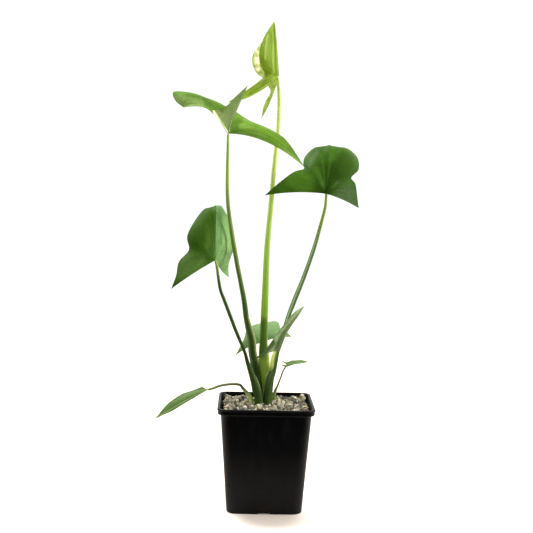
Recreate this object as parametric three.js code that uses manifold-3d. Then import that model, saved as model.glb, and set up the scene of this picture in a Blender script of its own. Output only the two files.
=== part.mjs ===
// Broadleaf arrowhead (Sagittaria latifolia), a bog plant, in a square nursery pot with a grit top
// dressing. Eight leaves rise from one crown: four tall arrow-shaped ones and four small low ones.
// Units are millimetres, +Z is up, and the origin is on the floor under the middle of the pot.
// The pot's front is -Y.
import * as THREE from "three";
import { mergeVertices } from "three/addons/utils/BufferGeometryUtils.js";
import Module from "manifold-3d";

// ---- driving dimensions ---------------------------------------------------------------------------
const POT_HEIGHT = 99; // floor to the top of the rim
const RIM_WIDTH = 90; // outside, across the flats
const RIM_DEPTH = 5.6; // height of the rolled rim's skirt
const BODY_TOP_WIDTH = 84; // outside, just under the rim
const BODY_FOOT_WIDTH = 70; // outside, at the floor
const WALL = 1.6; // moulded wall
const RIM_CORNER = 8; // corner radii
const BODY_CORNER = 9;
const CORNER_STEPS = 4; // facets in each rounded corner
const FOOT_CHAMFER = 0.75; // the edge under the pot, in from the wall
const RIM_CHAMFER = 0.5; // the rim's two outer edges, in from the rim's face
const CHAMFER_HEIGHT = 1;
const RIM_LEAN = 0.75; // how far the rim's inner face leans out over its height

const NOTCH_WIDTH = 13; // drain notch at the foot of each side
const NOTCH_HEIGHT = 3.6;
const NOTCH_DEPTH = 7; // how far it runs in across the base plate
const DRAIN_RADIUS = 4; // holes through the base plate
const DRAIN_SPREAD = 16; // their distance from the middle, along X and along Y

const SOIL_TOP = 82;
const GRIT_TOP = 92.2; // mean level that the grit stones are bedded in
const STONES_ACROSS = 7; // grit lumps along each side
const STONE_RADIUS = 6.8;

const GAP = 0.3; // between touching pieces
const GAP_STEPS = [[GAP, 0, 0], [-GAP, 0, 0], [0, GAP, 0], [0, -GAP, 0], [0, 0, GAP], [0, 0, -GAP]];
const BLADE_THICKNESS = 0.8;
const STALK_SIDES = 9;
const STALK_STEPS_PER_SPAN = 1; // rings for each pair of neighbouring points of a stalk
const BLADE_STEPS_PER_SPAN = 2; // columns for each pair of neighbouring points of a margin
const BLADE_ROWS = 5; // rows from the stalk's end out to the margin

const POT_BLACK = 0x111214;
const SOIL_BROWN = 0x2e2219;
const GRIT_GREY = 0x9b9484;
const LEAF_GREEN = 0x3f6f2a;
const YOUNG_GREEN = 0x9cc24a;
const PALE_GREEN = 0x7fa65c;
const POT_ROUGHNESS = 0.45;
const LEAF_ROUGHNESS = 0.5;
const GRIT_ROUGHNESS = 0.9;
const SOIL_ROUGHNESS = 1;

// ---- the leaves -----------------------------------------------------------------------------------
// stalk: points [x, y, z, radius] from inside the grit up to the place where the blade joins it.
// blade.tip: the end of the midrib. near and far: the margin of each half, from beside the tip round
// to the point of that half's basal lobe, which is its last entry.
// Every vein is a bowed line from the join to the margin. The bow vectors give how far its middle
// stands off a straight line: along the midrib, through the middle of each half, and along the
// inner edge of each basal lobe.
const LEAVES = {
  tall: {
    colour: YOUNG_GREEN,
    stalk: [
      [-1, 2, 84, 4.6], [-1, 2, 101, 4.6], [-1.6, 3, 128, 5.2], [-2.8, 4, 145, 4.5], [-3, 4, 157, 3.8],
      [-2.5, 6, 195, 3.3], [-1.5, 8, 243, 2.8], [1, 10, 281, 2.5], [4, 12, 325, 2.2],
      [6.5, 12, 354, 2.0], [7, 12, 383, 1.8], [6, 11, 398, 1.6], [5, 10, 406, 1.3],
    ],
    blade: {
      tip: [1, 8, 457],
      near: [
        [-1, 4, 455], [-9, -8, 440], [-13, -12, 426], [-12, -8, 415], [-8, -2, 407],
        [-14.5, -6, 398.5], [-24.5, -10, 390.5], [-41, -12, 379],
      ],
      far: [
        [-1, 13, 453.5], [-11.5, 22, 439], [-18.5, 26, 430], [-19, 25, 420], [-14, 21, 410],
        [-9.5, 18, 406.5], [-3.5, 15, 398], [-1.5, 17, 392.5], [-7, 22, 381.5], [-9.5, 26, 368],
      ],
      midribBow: [0.5, 0, 0],
      nearBow: [3, -6, 2],
      farBow: [3, 6, 2],
      nearLobeBow: [0, 0, -5],
      farLobeBow: [2, 0, 0],
    },
  },
  upper_left: {
    colour: LEAF_GREEN,
    stalk: [
      [-6, 1, 84, 4.4], [-6, 1, 101, 4.4], [-9.4, 1, 128, 4.5], [-13.2, 1, 145, 3.9],
      [-14.6, 1, 157, 3.6], [-19.5, 1, 176, 2.7], [-22.5, 1, 195, 2.4], [-26.5, 1, 214, 2.2],
      [-30.5, 0, 233, 2.1], [-38, -1, 275, 1.9], [-40, -2, 294, 1.8], [-40.5, -3, 317, 1.6],
      [-40.5, -3, 336, 1.4], [-40.5, -3, 351, 1.2],
    ],
    blade: {
      tip: [-83, 4, 375],
      near: [
        [-74, -8, 375], [-65, -18, 374], [-55, -26, 370], [-42.5, -36, 372.5], [-33, -50, 380.5],
        [-23, -62, 388.5],
      ],
      far: [
        [-91, 10, 381.5], [-94, 20, 391], [-80, 30, 392], [-68, 35, 389], [-55, 37, 385],
        [-44, 36, 380], [-33.5, 30, 374.5], [-17, 20, 363.5], [6, 2, 352.5], [17.5, -6, 341.5],
        [31, -14, 321],
      ],
      midribBow: [1, 0, 12],
      nearBow: [0, 0, 3],
      farBow: [0, 0, 8],
      nearLobeBow: [0, 0, 2],
      farLobeBow: [0, 0, 7.7],
    },
  },
  right: {
    colour: LEAF_GREEN,
    stalk: [
      [2, -3, 84, 4.2], [2, -3, 102, 4.1], [3.7, -3, 120, 3.7], [6.6, -3, 129, 2.9],
      [10, -4, 147, 2.2], [14, -4, 160, 2.2], [19, -5, 179, 2.1], [25, -5, 196, 2.3],
      [33.5, -6, 219, 2.1], [41.5, -8, 244, 1.9], [46.5, -9, 263, 1.7], [51, -10, 282, 1.5],
      [52, -10, 291, 1.4], [52, -10, 297, 1.2],
    ],
    blade: {
      tip: [60, 56, 316],
      near: [
        [47, 52, 330], [39.5, 40, 337.5], [33, 26, 331.5], [31, 8, 324], [31, -1, 320], [22, -7, 317],
        [9, -13, 307], [-5.5, -20, 294],
      ],
      far: [
        [72, 52, 330], [81, 40, 337.5], [85.5, 24, 330.5], [84, 8, 320.5], [75.5, -6, 312.5],
        [78, -20, 306], [78, -36, 295], [78, -50, 284],
      ],
      midribBow: [0, -8, 37],
      nearBow: [0, -6, 6],
      farBow: [0, -6, 6],
      nearLobeBow: [0, 0, 2],
      farLobeBow: [0, 0, 1.2],
    },
  },
  middle_left: {
    colour: LEAF_GREEN,
    stalk: [
      [-6, -6, 84, 4.2], [-7, -6, 103, 4.0], [-9, -7, 110, 3.9], [-12, -8, 120, 3.1],
      [-18, -8, 137, 2.0], [-21, -9, 147, 1.6], [-30, -11, 168, 1.7], [-33.5, -12, 177, 1.7],
      [-41, -14, 196, 1.6], [-44.5, -15, 205, 1.5], [-46.5, -15, 215, 1.4], [-48.5, -15, 228, 1.3],
      [-50, -14, 233, 1.1],
    ],
    blade: {
      tip: [-52, 45, 262],
      near: [
        [-60, 36, 272], [-65, 24, 277.5], [-72, 6, 267], [-77, -8, 254], [-74.5, -16, 242],
        [-83, -24, 231], [-85, -30, 219], [-89, -34, 207],
      ],
      far: [
        [-48, 42, 275], [-44.5, 34, 280.5], [-37, 26, 268], [-35, 16, 257], [-36, 12, 248],
        [-34, 16, 242], [-38, 24, 227], [-38, 32, 214],
      ],
      midribBow: [0, -8, 35],
      nearBow: [0, -6, 6],
      farBow: [0, -4, 6],
      nearLobeBow: [0, 0, 1],
      farLobeBow: [-1, 0, -1],
    },
  },
  rear: {
    colour: PALE_GREEN,
    stalk: [
      [-1, 9, 84, 2.2], [-1, 9, 100, 2.0], [-3, 13, 117, 1.6], [-3, 20, 135, 1.2], [-3, 28, 151, 1.0],
    ],
    blade: {
      tip: [-2, 78, 156],
      near: [
        [-12, 68, 160], [-16, 56, 162], [-20, 44, 159], [-21, 36, 157], [-23, 30, 151], [-30, 24, 138],
      ],
      far: [
        [8, 70, 164], [12, 58, 168], [14, 46, 165], [15, 38, 162], [19, 34, 162], [25, 28, 157],
      ],
      midribBow: [0, -4, 14],
      nearBow: [0, -3, 5],
      farBow: [0, -3, 5],
      nearLobeBow: [0, 0, 2],
      farLobeBow: [0, 0, 2],
    },
  },
  inner: {
    colour: PALE_GREEN,
    stalk: [
      [4, 3, 84, 2.2], [4, 3, 101, 2.0], [4, 1, 119, 1.7], [5, -5, 132, 1.8], [5.5, -8, 141, 1.7],
      [7.5, -10, 148.5, 1.1],
    ],
    blade: {
      tip: [34, -15, 192],
      near: [
        [30.5, -16, 186], [26, -16, 178.5], [21.5, -15, 172], [17.5, -14, 164], [14.5, -13, 156],
        [12, -12, 148],
      ],
      far: [
        [26.5, -17, 187.5], [19, -18, 180], [12, -19, 171.5], [5.5, -20, 161], [-2, -20, 151],
        [-13.5, -21, 140],
      ],
      midribBow: [-3, -2, 1],
      nearBow: [0, -1, 0],
      farBow: [-1, 0, 1],
      nearLobeBow: [0, 0, 0],
      farLobeBow: [0, 0, 1],
    },
  },
  low_left: {
    colour: PALE_GREEN,
    stalk: [
      [-12, -2, 84, 1.8], [-14, -2, 101, 1.9], [-18, -3, 107, 1.7], [-22, -4, 111.5, 1.4],
      [-25, -5, 114.9, 1.2], [-33, -8, 115.9, 1.2], [-43, -11, 114.9, 1.2], [-50, -13, 112.5, 1.1],
      [-55, -15, 111.5, 1.1],
    ],
    blade: {
      tip: [-102.5, -26, 85.5],
      near: [
        [-95, -30, 89.8], [-87, -29, 93.8], [-78, -26, 98.8], [-67, -21, 104.8], [-58, -17, 109.8],
      ],
      far: [
        [-96, -22, 93.8], [-90, -17, 99.8], [-79, -12, 106], [-69, -10, 110], [-60, -12, 113.8],
      ],
      midribBow: [0, 0, 2],
      nearBow: [0, 0, 1],
      farBow: [0, 0, 1],
      nearLobeBow: [0, 0, 0],
      farLobeBow: [0, 0, 0],
    },
  },
  small_right: {
    colour: PALE_GREEN,
    stalk: [
      [8, 4, 84, 1.7], [8, 4, 99, 1.7], [9, 5, 107, 1.5], [11, 5, 112, 1.0], [14, 6, 120, 0.8],
      [16, 6, 126, 0.8], [18, 6, 130, 0.8], [20, 5, 133, 0.7],
    ],
    blade: {
      tip: [40, -2, 137.5],
      near: [
        [34, -5, 136.5], [28, -5, 135.5], [24, -2, 134], [20.5, 2, 132], [18, 1, 132], [12, -2, 134.5],
      ],
      far: [
        [34, 2, 138.5], [28, 6, 137.5], [24, 7, 137], [21, 7, 135.5], [18.5, 8, 135.5],
        [13.5, 10, 137],
      ],
      midribBow: [0, 0, 1],
      nearBow: [0, 0, 0],
      farBow: [0, 0, 0],
      nearLobeBow: [0, 0, 0],
      farLobeBow: [0, 0, 0],
    },
  },
};

// ---- solids from triangles ------------------------------------------------------------------------
const wasm = await Module();
wasm.setup();

function geometryOf(points, triangles) {
  const geometry = new THREE.BufferGeometry();
  geometry.setAttribute("position", new THREE.Float32BufferAttribute(points.flat(), 3));
  geometry.setIndex(triangles.flat());
  return geometry;
}

function solidOf(geometry) {
  const bare = new THREE.BufferGeometry();
  bare.setAttribute("position", geometry.getAttribute("position"));
  if (geometry.index) bare.setIndex(geometry.index);
  const merged = mergeVertices(bare, 1e-4);
  return new wasm.Manifold(new wasm.Mesh({
    numProp: 3,
    vertProperties: new Float32Array(merged.attributes.position.array),
    triVerts: new Uint32Array(merged.index.array),
  }));
}

function meshOf(name, solid, colour, roughness) {
  const { vertProperties, triVerts } = solid.getMesh();
  const geometry = new THREE.BufferGeometry();
  geometry.setAttribute("position", new THREE.BufferAttribute(vertProperties, 3));
  geometry.setIndex(new THREE.BufferAttribute(triVerts, 1));
  geometry.computeVertexNormals();
  const material = new THREE.MeshStandardMaterial({ color: colour, roughness, metalness: 0 });
  const mesh = new THREE.Mesh(geometry, material);
  mesh.name = name;
  return mesh;
}

// The largest body of a solid, so that a sliver left by a cut is dropped.
function mainBody(solid) {
  return solid.decompose().sort((a, b) => b.volume() - a.volume())[0];
}

// ---- curves ---------------------------------------------------------------------------------------
// A smooth curve through points of any length, at t from 0 to 1 (uniform Catmull-Rom).
function along(points, t) {
  const spans = points.length - 1;
  const span = Math.min(Math.floor(t * spans), spans - 1);
  const s = t * spans - span;
  const [b, c] = [points[span], points[span + 1]];
  const a = points[span - 1] ?? b.map((v, i) => 2 * v - c[i]);
  const d = points[span + 2] ?? c.map((v, i) => 2 * v - b[i]);
  return b.map((v, i) => v + 0.5 * s * (c[i] - a[i]
    + s * (2 * a[i] - 5 * v + 4 * c[i] - d[i] + s * (3 * (v - c[i]) + d[i] - a[i]))));
}

const vector = (p) => new THREE.Vector3(p[0], p[1], p[2]);

// ---- stalks ---------------------------------------------------------------------------------------
function stalkSolid(points, grown = 0) {
  const steps = (points.length - 1) * STALK_STEPS_PER_SPAN;
  const rings = Array.from({ length: steps + 1 }, (_, i) => along(points, i / steps));
  const vertices = [];
  let side = new THREE.Vector3(1, 0, 0);
  rings.forEach((ring, i) => {
    const centre = vector(ring);
    const ahead = vector(rings[Math.min(i + 1, steps)]).sub(vector(rings[Math.max(i - 1, 0)])).normalize();
    side = side.clone().addScaledVector(ahead, -side.dot(ahead)).normalize();
    const across = ahead.clone().cross(side);
    if (i === 0) centre.addScaledVector(ahead, -grown);
    if (i === steps) centre.addScaledVector(ahead, grown - GAP - BLADE_THICKNESS);
    for (let k = 0; k < STALK_SIDES; k++) {
      const angle = (2 * Math.PI * k) / STALK_SIDES;
      vertices.push(centre.clone()
        .addScaledVector(side, Math.cos(angle) * (ring[3] + grown))
        .addScaledVector(across, Math.sin(angle) * (ring[3] + grown)).toArray());
    }
  });
  return solidOf(geometryOf(vertices, tubeTriangles(rings.length, STALK_SIDES)));
}

// Faces of a closed tube whose rings follow one another, with flat ends.
function tubeTriangles(rings, sides) {
  const triangles = [];
  for (let i = 0; i < rings - 1; i++) {
    for (let k = 0; k < sides; k++) {
      const [a, b] = [i * sides + k, i * sides + ((k + 1) % sides)];
      triangles.push([a, b, b + sides], [a, b + sides, a + sides]);
    }
  }
  const last = (rings - 1) * sides;
  for (let k = 1; k < sides - 1; k++) {
    triangles.push([0, k + 1, k], [last, last + k, last + k + 1]);
  }
  return triangles;
}

// ---- blades ---------------------------------------------------------------------------------------
// A point of one half of a blade. u runs from the join (0) to the margin (1), and v from the midrib
// (0) to the inner edge of the basal lobe (1).
function bladePoint(join, margin, bows, u, v) {
  const edge = vector(along(margin, v));
  const bow = vector(bows[0]).multiplyScalar((1 - v) * (1 - 2 * v))
    .addScaledVector(vector(bows[1]), 4 * v * (1 - v))
    .addScaledVector(vector(bows[2]), v * (2 * v - 1));
  return vector(join).lerp(edge, u).addScaledVector(bow, 4 * u * (1 - u));
}

function bladeSolid(join, blade, thickness = BLADE_THICKNESS) {
  const halves = [
    { margin: [blade.tip, ...blade.near], bows: [blade.midribBow, blade.nearBow, blade.nearLobeBow] },
    { margin: [blade.tip, ...blade.far], bows: [blade.midribBow, blade.farBow, blade.farLobeBow] },
  ];
  const columns = [];
  halves.forEach(({ margin, bows }, half) => {
    const steps = (margin.length - 1) * BLADE_STEPS_PER_SPAN;
    for (let k = half; k <= steps; k++) {
      const v = k / steps;
      const column = [];
      for (let row = 1; row <= BLADE_ROWS; row++) {
        column.push(bladePoint(join, margin, bows, row / BLADE_ROWS, v));
      }
      if (half === 0) columns.unshift(column);
      else columns.push(column);
    }
  });
  return thickSheet(vector(join), columns, thickness);
}

// A closed solid of even thickness about a fan of columns that all start at one point.
function thickSheet(apex, columns, thickness) {
  const rows = columns[0].length;
  const middle = [apex, ...columns.flat()];
  const at = (column, row) => 1 + column * rows + row;
  const faces = [];
  for (let c = 0; c < columns.length - 1; c++) {
    faces.push([0, at(c, 0), at(c + 1, 0)]);
    for (let r = 0; r < rows - 1; r++) {
      faces.push([at(c, r), at(c, r + 1), at(c + 1, r + 1)], [at(c, r), at(c + 1, r + 1), at(c + 1, r)]);
    }
  }
  const sheet = geometryOf(middle.map((p) => p.toArray()), faces);
  sheet.computeVertexNormals();
  const normals = sheet.getAttribute("normal");
  const offset = (side) => middle.map((p, i) => p.clone()
    .addScaledVector(new THREE.Vector3().fromBufferAttribute(normals, i), (side * thickness) / 2).toArray());
  const count = middle.length;
  const lastColumn = columns.length - 1;
  const border = [0];
  for (let r = 0; r < rows; r++) border.push(at(0, r));
  for (let c = 1; c < lastColumn; c++) border.push(at(c, rows - 1));
  for (let r = rows - 1; r >= 0; r--) border.push(at(lastColumn, r));
  const rim = border.flatMap((a, i) => {
    const b = border[(i + 1) % border.length];
    return [[a, a + count, b + count], [a, b + count, b]];
  });
  const back = faces.map(([a, b, c]) => [a + count, c + count, b + count]);
  return solidOf(geometryOf([...offset(1), ...offset(-1)], [...faces, ...back, ...rim]));
}

// ---- pot, soil and grit ---------------------------------------------------------------------------
function roundedSquare(width, corner, z) {
  const points = [];
  const reach = width / 2 - corner;
  for (let quarter = 0; quarter < 4; quarter++) {
    for (let k = 0; k <= CORNER_STEPS; k++) {
      const angle = (Math.PI / 2) * (quarter + k / CORNER_STEPS);
      const [sx, sy] = [[1, 1], [-1, 1], [-1, -1], [1, -1]][quarter];
      points.push([sx * reach + corner * Math.cos(angle), sy * reach + corner * Math.sin(angle), z]);
    }
  }
  return points;
}

function loftSolid(rings) {
  return solidOf(geometryOf(rings.flat(), tubeTriangles(rings.length, rings[0].length)));
}

const bodyWidth = (z) => BODY_FOOT_WIDTH + ((BODY_TOP_WIDTH - BODY_FOOT_WIDTH) * z) / (POT_HEIGHT - RIM_DEPTH);

function potSolid() {
  const skirt = POT_HEIGHT - RIM_DEPTH;
  const outside = loftSolid([
    roundedSquare(bodyWidth(0) - 2 * FOOT_CHAMFER, BODY_CORNER, 0),
    roundedSquare(bodyWidth(CHAMFER_HEIGHT), BODY_CORNER, CHAMFER_HEIGHT),
    roundedSquare(bodyWidth(skirt), BODY_CORNER, skirt),
    roundedSquare(RIM_WIDTH - 2 * RIM_CHAMFER, RIM_CORNER, skirt),
    roundedSquare(RIM_WIDTH, RIM_CORNER, skirt + CHAMFER_HEIGHT),
    roundedSquare(RIM_WIDTH, RIM_CORNER, POT_HEIGHT - CHAMFER_HEIGHT),
    roundedSquare(RIM_WIDTH - 2 * RIM_CHAMFER, RIM_CORNER, POT_HEIGHT),
  ]);
  const inside = loftSolid([
    roundedSquare(bodyWidth(WALL) - 2 * WALL, BODY_CORNER - WALL, WALL),
    roundedSquare(bodyWidth(skirt) - 2 * WALL, BODY_CORNER - WALL, skirt),
    roundedSquare(bodyWidth(skirt) - 2 * (WALL - RIM_LEAN), BODY_CORNER - WALL, POT_HEIGHT + CHAMFER_HEIGHT),
  ]);
  let pot = outside.subtract(inside);
  for (let side = 0; side < 4; side++) {
    const turn = (side * Math.PI) / 2;
    const notch = new THREE.BoxGeometry(2 * NOTCH_DEPTH, NOTCH_WIDTH, 2 * NOTCH_HEIGHT)
      .translate(bodyWidth(0) / 2, 0, 0).rotateZ(turn);
    const drain = new THREE.CylinderGeometry(DRAIN_RADIUS, DRAIN_RADIUS, 4 * WALL, 12)
      .rotateX(Math.PI / 2).translate(DRAIN_SPREAD, DRAIN_SPREAD, WALL).rotateZ(turn);
    pot = pot.subtract(solidOf(notch)).subtract(solidOf(drain));
  }
  return pot;
}

// The room inside the pot between two levels, clear of the wall by the gap.
function fillSolid(low, high) {
  const width = (z) => Math.min(bodyWidth(z), BODY_TOP_WIDTH) - 2 * (WALL + GAP);
  const corner = BODY_CORNER - WALL;
  return loftSolid([roundedSquare(width(low), corner, low), roundedSquare(width(high), corner, high)]);
}

// Repeatable numbers from 0 to 1.
function seeded(seed) {
  let state = seed;
  return () => {
    state = (state * 16807) % 2147483647;
    return state / 2147483647;
  };
}

function gritSolid() {
  const random = seeded(41);
  const pitch = (BODY_TOP_WIDTH - 2 * WALL) / STONES_ACROSS;
  let grit = fillSolid(SOIL_TOP + GAP, GRIT_TOP - 1);
  for (let i = 0; i < STONES_ACROSS; i++) {
    for (let j = 0; j < STONES_ACROSS; j++) {
      const stone = new THREE.IcosahedronGeometry(STONE_RADIUS)
        .rotateX(6 * random()).rotateY(6 * random()).rotateZ(6 * random())
        .scale(0.85 + 0.4 * random(), 0.8 + 0.35 * random(), 0.6 + 0.3 * random())
        .translate((i + 0.2 + 0.6 * random() - STONES_ACROSS / 2) * pitch,
          (j + 0.2 + 0.6 * random() - STONES_ACROSS / 2) * pitch,
          GRIT_TOP - 1.2 + 1.6 * random());
      grit = grit.add(solidOf(stone));
    }
  }
  return grit.intersect(fillSolid(SOIL_TOP + GAP, POT_HEIGHT));
}

// ---- assembly -------------------------------------------------------------------------------------
const plant = new THREE.Group();
const pot = potSolid();
plant.add(meshOf("pot", pot, POT_BLACK, POT_ROUGHNESS));

for (const [name, leaf] of Object.entries(LEAVES)) {
  const blade = bladeSolid(leaf.stalk.at(-1), leaf.blade);
  plant.add(meshOf(`${name}_leaf_blade`, blade, leaf.colour, LEAF_ROUGHNESS));
}

// Inner stalks come first, and the sheath of each later one is cut to lie round them.
const roomForStalks = [];
for (const [name, leaf] of Object.entries(LEAVES)) {
  let stalk = stalkSolid(leaf.stalk);
  for (const room of roomForStalks) stalk = stalk.subtract(room);
  const swollen = bladeSolid(leaf.stalk.at(-1), leaf.blade, BLADE_THICKNESS + 2 * GAP);
  for (const step of GAP_STEPS) stalk = stalk.subtract(swollen.translate(step));
  plant.add(meshOf(`${name}_leaf_stalk`, mainBody(stalk), leaf.colour, LEAF_ROUGHNESS));
  roomForStalks.push(stalkSolid(leaf.stalk, GAP));
}

const soil = fillSolid(WALL + GAP, SOIL_TOP);
let grit = gritSolid();
for (const room of roomForStalks) grit = grit.subtract(room);
plant.add(meshOf("potting_soil", soil, SOIL_BROWN, SOIL_ROUGHNESS));
plant.add(meshOf("grit_top_dressing", mainBody(grit), GRIT_GREY, GRIT_ROUGHNESS));

export default plant;
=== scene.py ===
# %% [markdown]
# # A broadleaf arrowhead in a nursery pot
#
# Broadleaf arrowhead is a bog plant. Each leaf rises on its own stalk from one crown, and the crown
# sits in a small square pot with a layer of grit on the soil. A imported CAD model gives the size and
# place of every part. This lesson dresses it: thin veined blades, ridged stalks, a moulded plastic
# pot and loose stones.
#
# Its box is noted before anything is added, so that the finished plant can be compared with it.

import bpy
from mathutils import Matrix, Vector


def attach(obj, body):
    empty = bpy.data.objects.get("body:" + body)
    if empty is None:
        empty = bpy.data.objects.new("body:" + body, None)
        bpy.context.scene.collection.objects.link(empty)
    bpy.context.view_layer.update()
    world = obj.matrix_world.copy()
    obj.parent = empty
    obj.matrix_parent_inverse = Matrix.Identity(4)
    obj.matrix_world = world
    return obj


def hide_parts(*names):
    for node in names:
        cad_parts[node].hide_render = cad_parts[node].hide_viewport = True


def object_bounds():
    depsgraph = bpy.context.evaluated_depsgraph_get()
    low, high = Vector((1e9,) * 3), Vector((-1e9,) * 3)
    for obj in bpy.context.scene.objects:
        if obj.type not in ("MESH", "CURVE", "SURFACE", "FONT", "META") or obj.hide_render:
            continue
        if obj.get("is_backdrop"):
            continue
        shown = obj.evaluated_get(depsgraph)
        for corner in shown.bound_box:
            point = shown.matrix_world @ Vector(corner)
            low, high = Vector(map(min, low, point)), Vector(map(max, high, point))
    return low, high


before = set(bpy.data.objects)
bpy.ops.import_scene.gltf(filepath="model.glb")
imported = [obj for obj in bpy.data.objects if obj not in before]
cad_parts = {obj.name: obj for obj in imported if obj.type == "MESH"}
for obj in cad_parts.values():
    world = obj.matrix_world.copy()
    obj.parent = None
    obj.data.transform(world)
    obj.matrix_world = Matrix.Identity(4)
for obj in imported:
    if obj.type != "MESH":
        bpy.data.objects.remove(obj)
cad_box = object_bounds()
print("CAD box in metres:", cad_box)

# %% [markdown]
# ## What the rest of the lesson uses
#
# Blender's own modules build the meshes and the node trees, and numpy does the sums on whole lists
# of points. Sizes of the plant are easiest to read in millimetres, while Blender works in metres.

# %% Modules and units
import math

import bmesh
import bpy
import numpy as np
from mathutils import Matrix, Vector

MM = 0.001
scene = bpy.context.scene


def add_object(name, data):
    made = bpy.data.objects.new(name, data)
    scene.collection.objects.link(made)
    return made

# %% [markdown]
# ## The camera
#
# A long lens from almost a metre away keeps the pot's sides nearly parallel. The camera looks a
# little down, so that the top of the grit shows. Its three angles are turned into a matrix whose
# columns are the picture's right, its up, the way back towards the eye, and the camera's place.

# %% Camera
CAMERA_PLACE = (-0.0239, -0.9032, 0.2797)
PITCH, YAW, ROLL = (math.radians(angle) for angle in (3.322, 1.395, 1.256))

ahead = np.array([math.sin(YAW) * math.cos(PITCH), math.cos(YAW) * math.cos(PITCH), -math.sin(PITCH)])
level = np.array([math.cos(YAW), -math.sin(YAW), 0.0])
upright = np.cross(level, ahead)
picture_right = math.cos(ROLL) * level + math.sin(ROLL) * upright
picture_up = math.cos(ROLL) * upright - math.sin(ROLL) * level

camera_data = bpy.data.cameras.new("camera")
camera_data.sensor_width = 36
camera_data.lens = 64.64
camera = add_object("camera", camera_data)
turn = np.eye(4)
turn[:3] = np.column_stack([picture_right, picture_up, -ahead, CAMERA_PLACE])
camera.matrix_world = Matrix(turn.tolist())
scene.camera = camera
print("camera", CAMERA_PLACE, "lens", camera_data.lens)

# %% [markdown]
# ## Sums on sockets
#
# A material is a tree of small nodes, and a formula in nodes soon needs dozens of them. Three small
# classes keep it readable. `Wire` wraps one output socket and overloads the signs of arithmetic, so
# that `1 - mask` adds a Math node by itself. `Tree` has one method for every other node: it takes
# the node's type, what its sockets are given, and its settings. `Finish` is the tree of one
# material, with a short name for each thing that the materials do often.

# %% Wires and trees
class Wire:
    """One output socket of a node tree."""

    def __init__(self, tree, socket):
        self.tree = tree
        self.socket = socket

    def sum(self, operation, *others):
        return self.tree.sum(operation, self, *others)

    def part(self, letter):
        return self.tree.node("ShaderNodeSeparateXYZ", {0: self}, out=letter)

    def ramp(self, start, end, low=0.0, high=1.0):
        """Eases from low to high as this value goes from start to end."""
        sockets = {"Value": self, "From Min": start, "From Max": end, "To Min": low, "To Max": high}
        return self.tree.node("ShaderNodeMapRange", sockets, {"interpolation_type": "SMOOTHSTEP"})


def sign_method(operation, flipped):
    """What a sign does with the wire on its left, or on its right if flipped."""
    def method(wire, other):
        return wire.tree.sum(operation, *((other, wire) if flipped else (wire, other)))

    return method


SIGNS = {"add": "ADD", "sub": "SUBTRACT", "mul": "MULTIPLY", "truediv": "DIVIDE", "pow": "POWER",
         "lt": "LESS_THAN", "gt": "GREATER_THAN"}
for sign, operation in SIGNS.items():
    setattr(Wire, f"__{sign}__", sign_method(operation, False))
for sign in ("add", "sub", "mul"):
    setattr(Wire, f"__r{sign}__", sign_method(SIGNS[sign], True))


class Tree:
    def __init__(self, node_tree):
        self.node_tree = node_tree

    def node(self, kind, sockets=None, settings=None, out=0):
        """Adds a node, fills its sockets with wires or values, and gives back one of its outputs."""
        made = self.node_tree.nodes.new(kind)
        for name, setting in (settings or {}).items():
            setattr(made, name, setting)
        for name, given in (sockets or {}).items():
            for value in given if isinstance(given, list) else [given]:
                if isinstance(value, Wire):
                    self.node_tree.links.new(value.socket, made.inputs[name])
                else:
                    made.inputs[name].default_value = value
        return Wire(self, made.outputs[out]) if len(made.outputs) else None

    def sum(self, operation, *values):
        return self.node("ShaderNodeMath", dict(enumerate(values)), {"operation": operation})


class Finish(Tree):
    """The node tree of one material."""

    def __init__(self, name):
        self.material = bpy.data.materials.new(name)
        self.material.use_nodes = True
        super().__init__(self.material.node_tree)
        self.node_tree.nodes.clear()
        self.place = self.node("ShaderNodeTexCoord", out="Object")

    def attribute(self, name, out="Fac"):
        return self.node("ShaderNodeAttribute", settings={"attribute_name": name}, out=out)

    def noise(self, size, detail=2.0, vector=None, stretch=None):
        """Soft noise from about 0.3 to 0.7, with lumps of the given size in metres."""
        vector = vector or self.place
        if stretch:
            vector = self.node("ShaderNodeMapping", {"Vector": vector, "Scale": stretch})
        return self.node("ShaderNodeTexNoise", {"Vector": vector, "Scale": 1.0 / size, "Detail": detail})

    def mix(self, amount, first, second, blend_type="MIX"):
        first, second = (c if isinstance(c, Wire) else (*c, 1.0) for c in (first, second))
        settings = {"data_type": "RGBA", "blend_type": blend_type}
        return self.node("ShaderNodeMix", {0: amount, 6: first, 7: second}, settings, 2)

    def tint(self, colour, brightness):
        """A colour times a number that varies over the surface."""
        grey = self.node("ShaderNodeCombineXYZ", {0: brightness, 1: brightness, 2: brightness})
        return self.mix(1.0, colour, grey, "MULTIPLY")

    def bump(self, height, distance, strength=1.0):
        return self.node("ShaderNodeBump", {"Height": height, "Distance": distance, "Strength": strength})

    def solid(self, colour, roughness, normal, shine=0.5):
        """A surface that light doesn't pass."""
        return self.node("ShaderNodeBsdfPrincipled", {
            "Base Color": colour, "Roughness": roughness, "Normal": normal, "Specular IOR Level": shine,
        })

    def thin(self, colour, **more):
        """Tissue that glows when it is lit from the other side."""
        return self.node("ShaderNodeBsdfTranslucent", {"Color": (*colour, 1.0), **more})

    def blend(self, amount, first, second):
        return self.node("ShaderNodeMixShader", {0: amount, 1: first, 2: second})

    def surface(self, shader):
        self.node("ShaderNodeOutputMaterial", {"Surface": shader})
        return self.material
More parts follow.
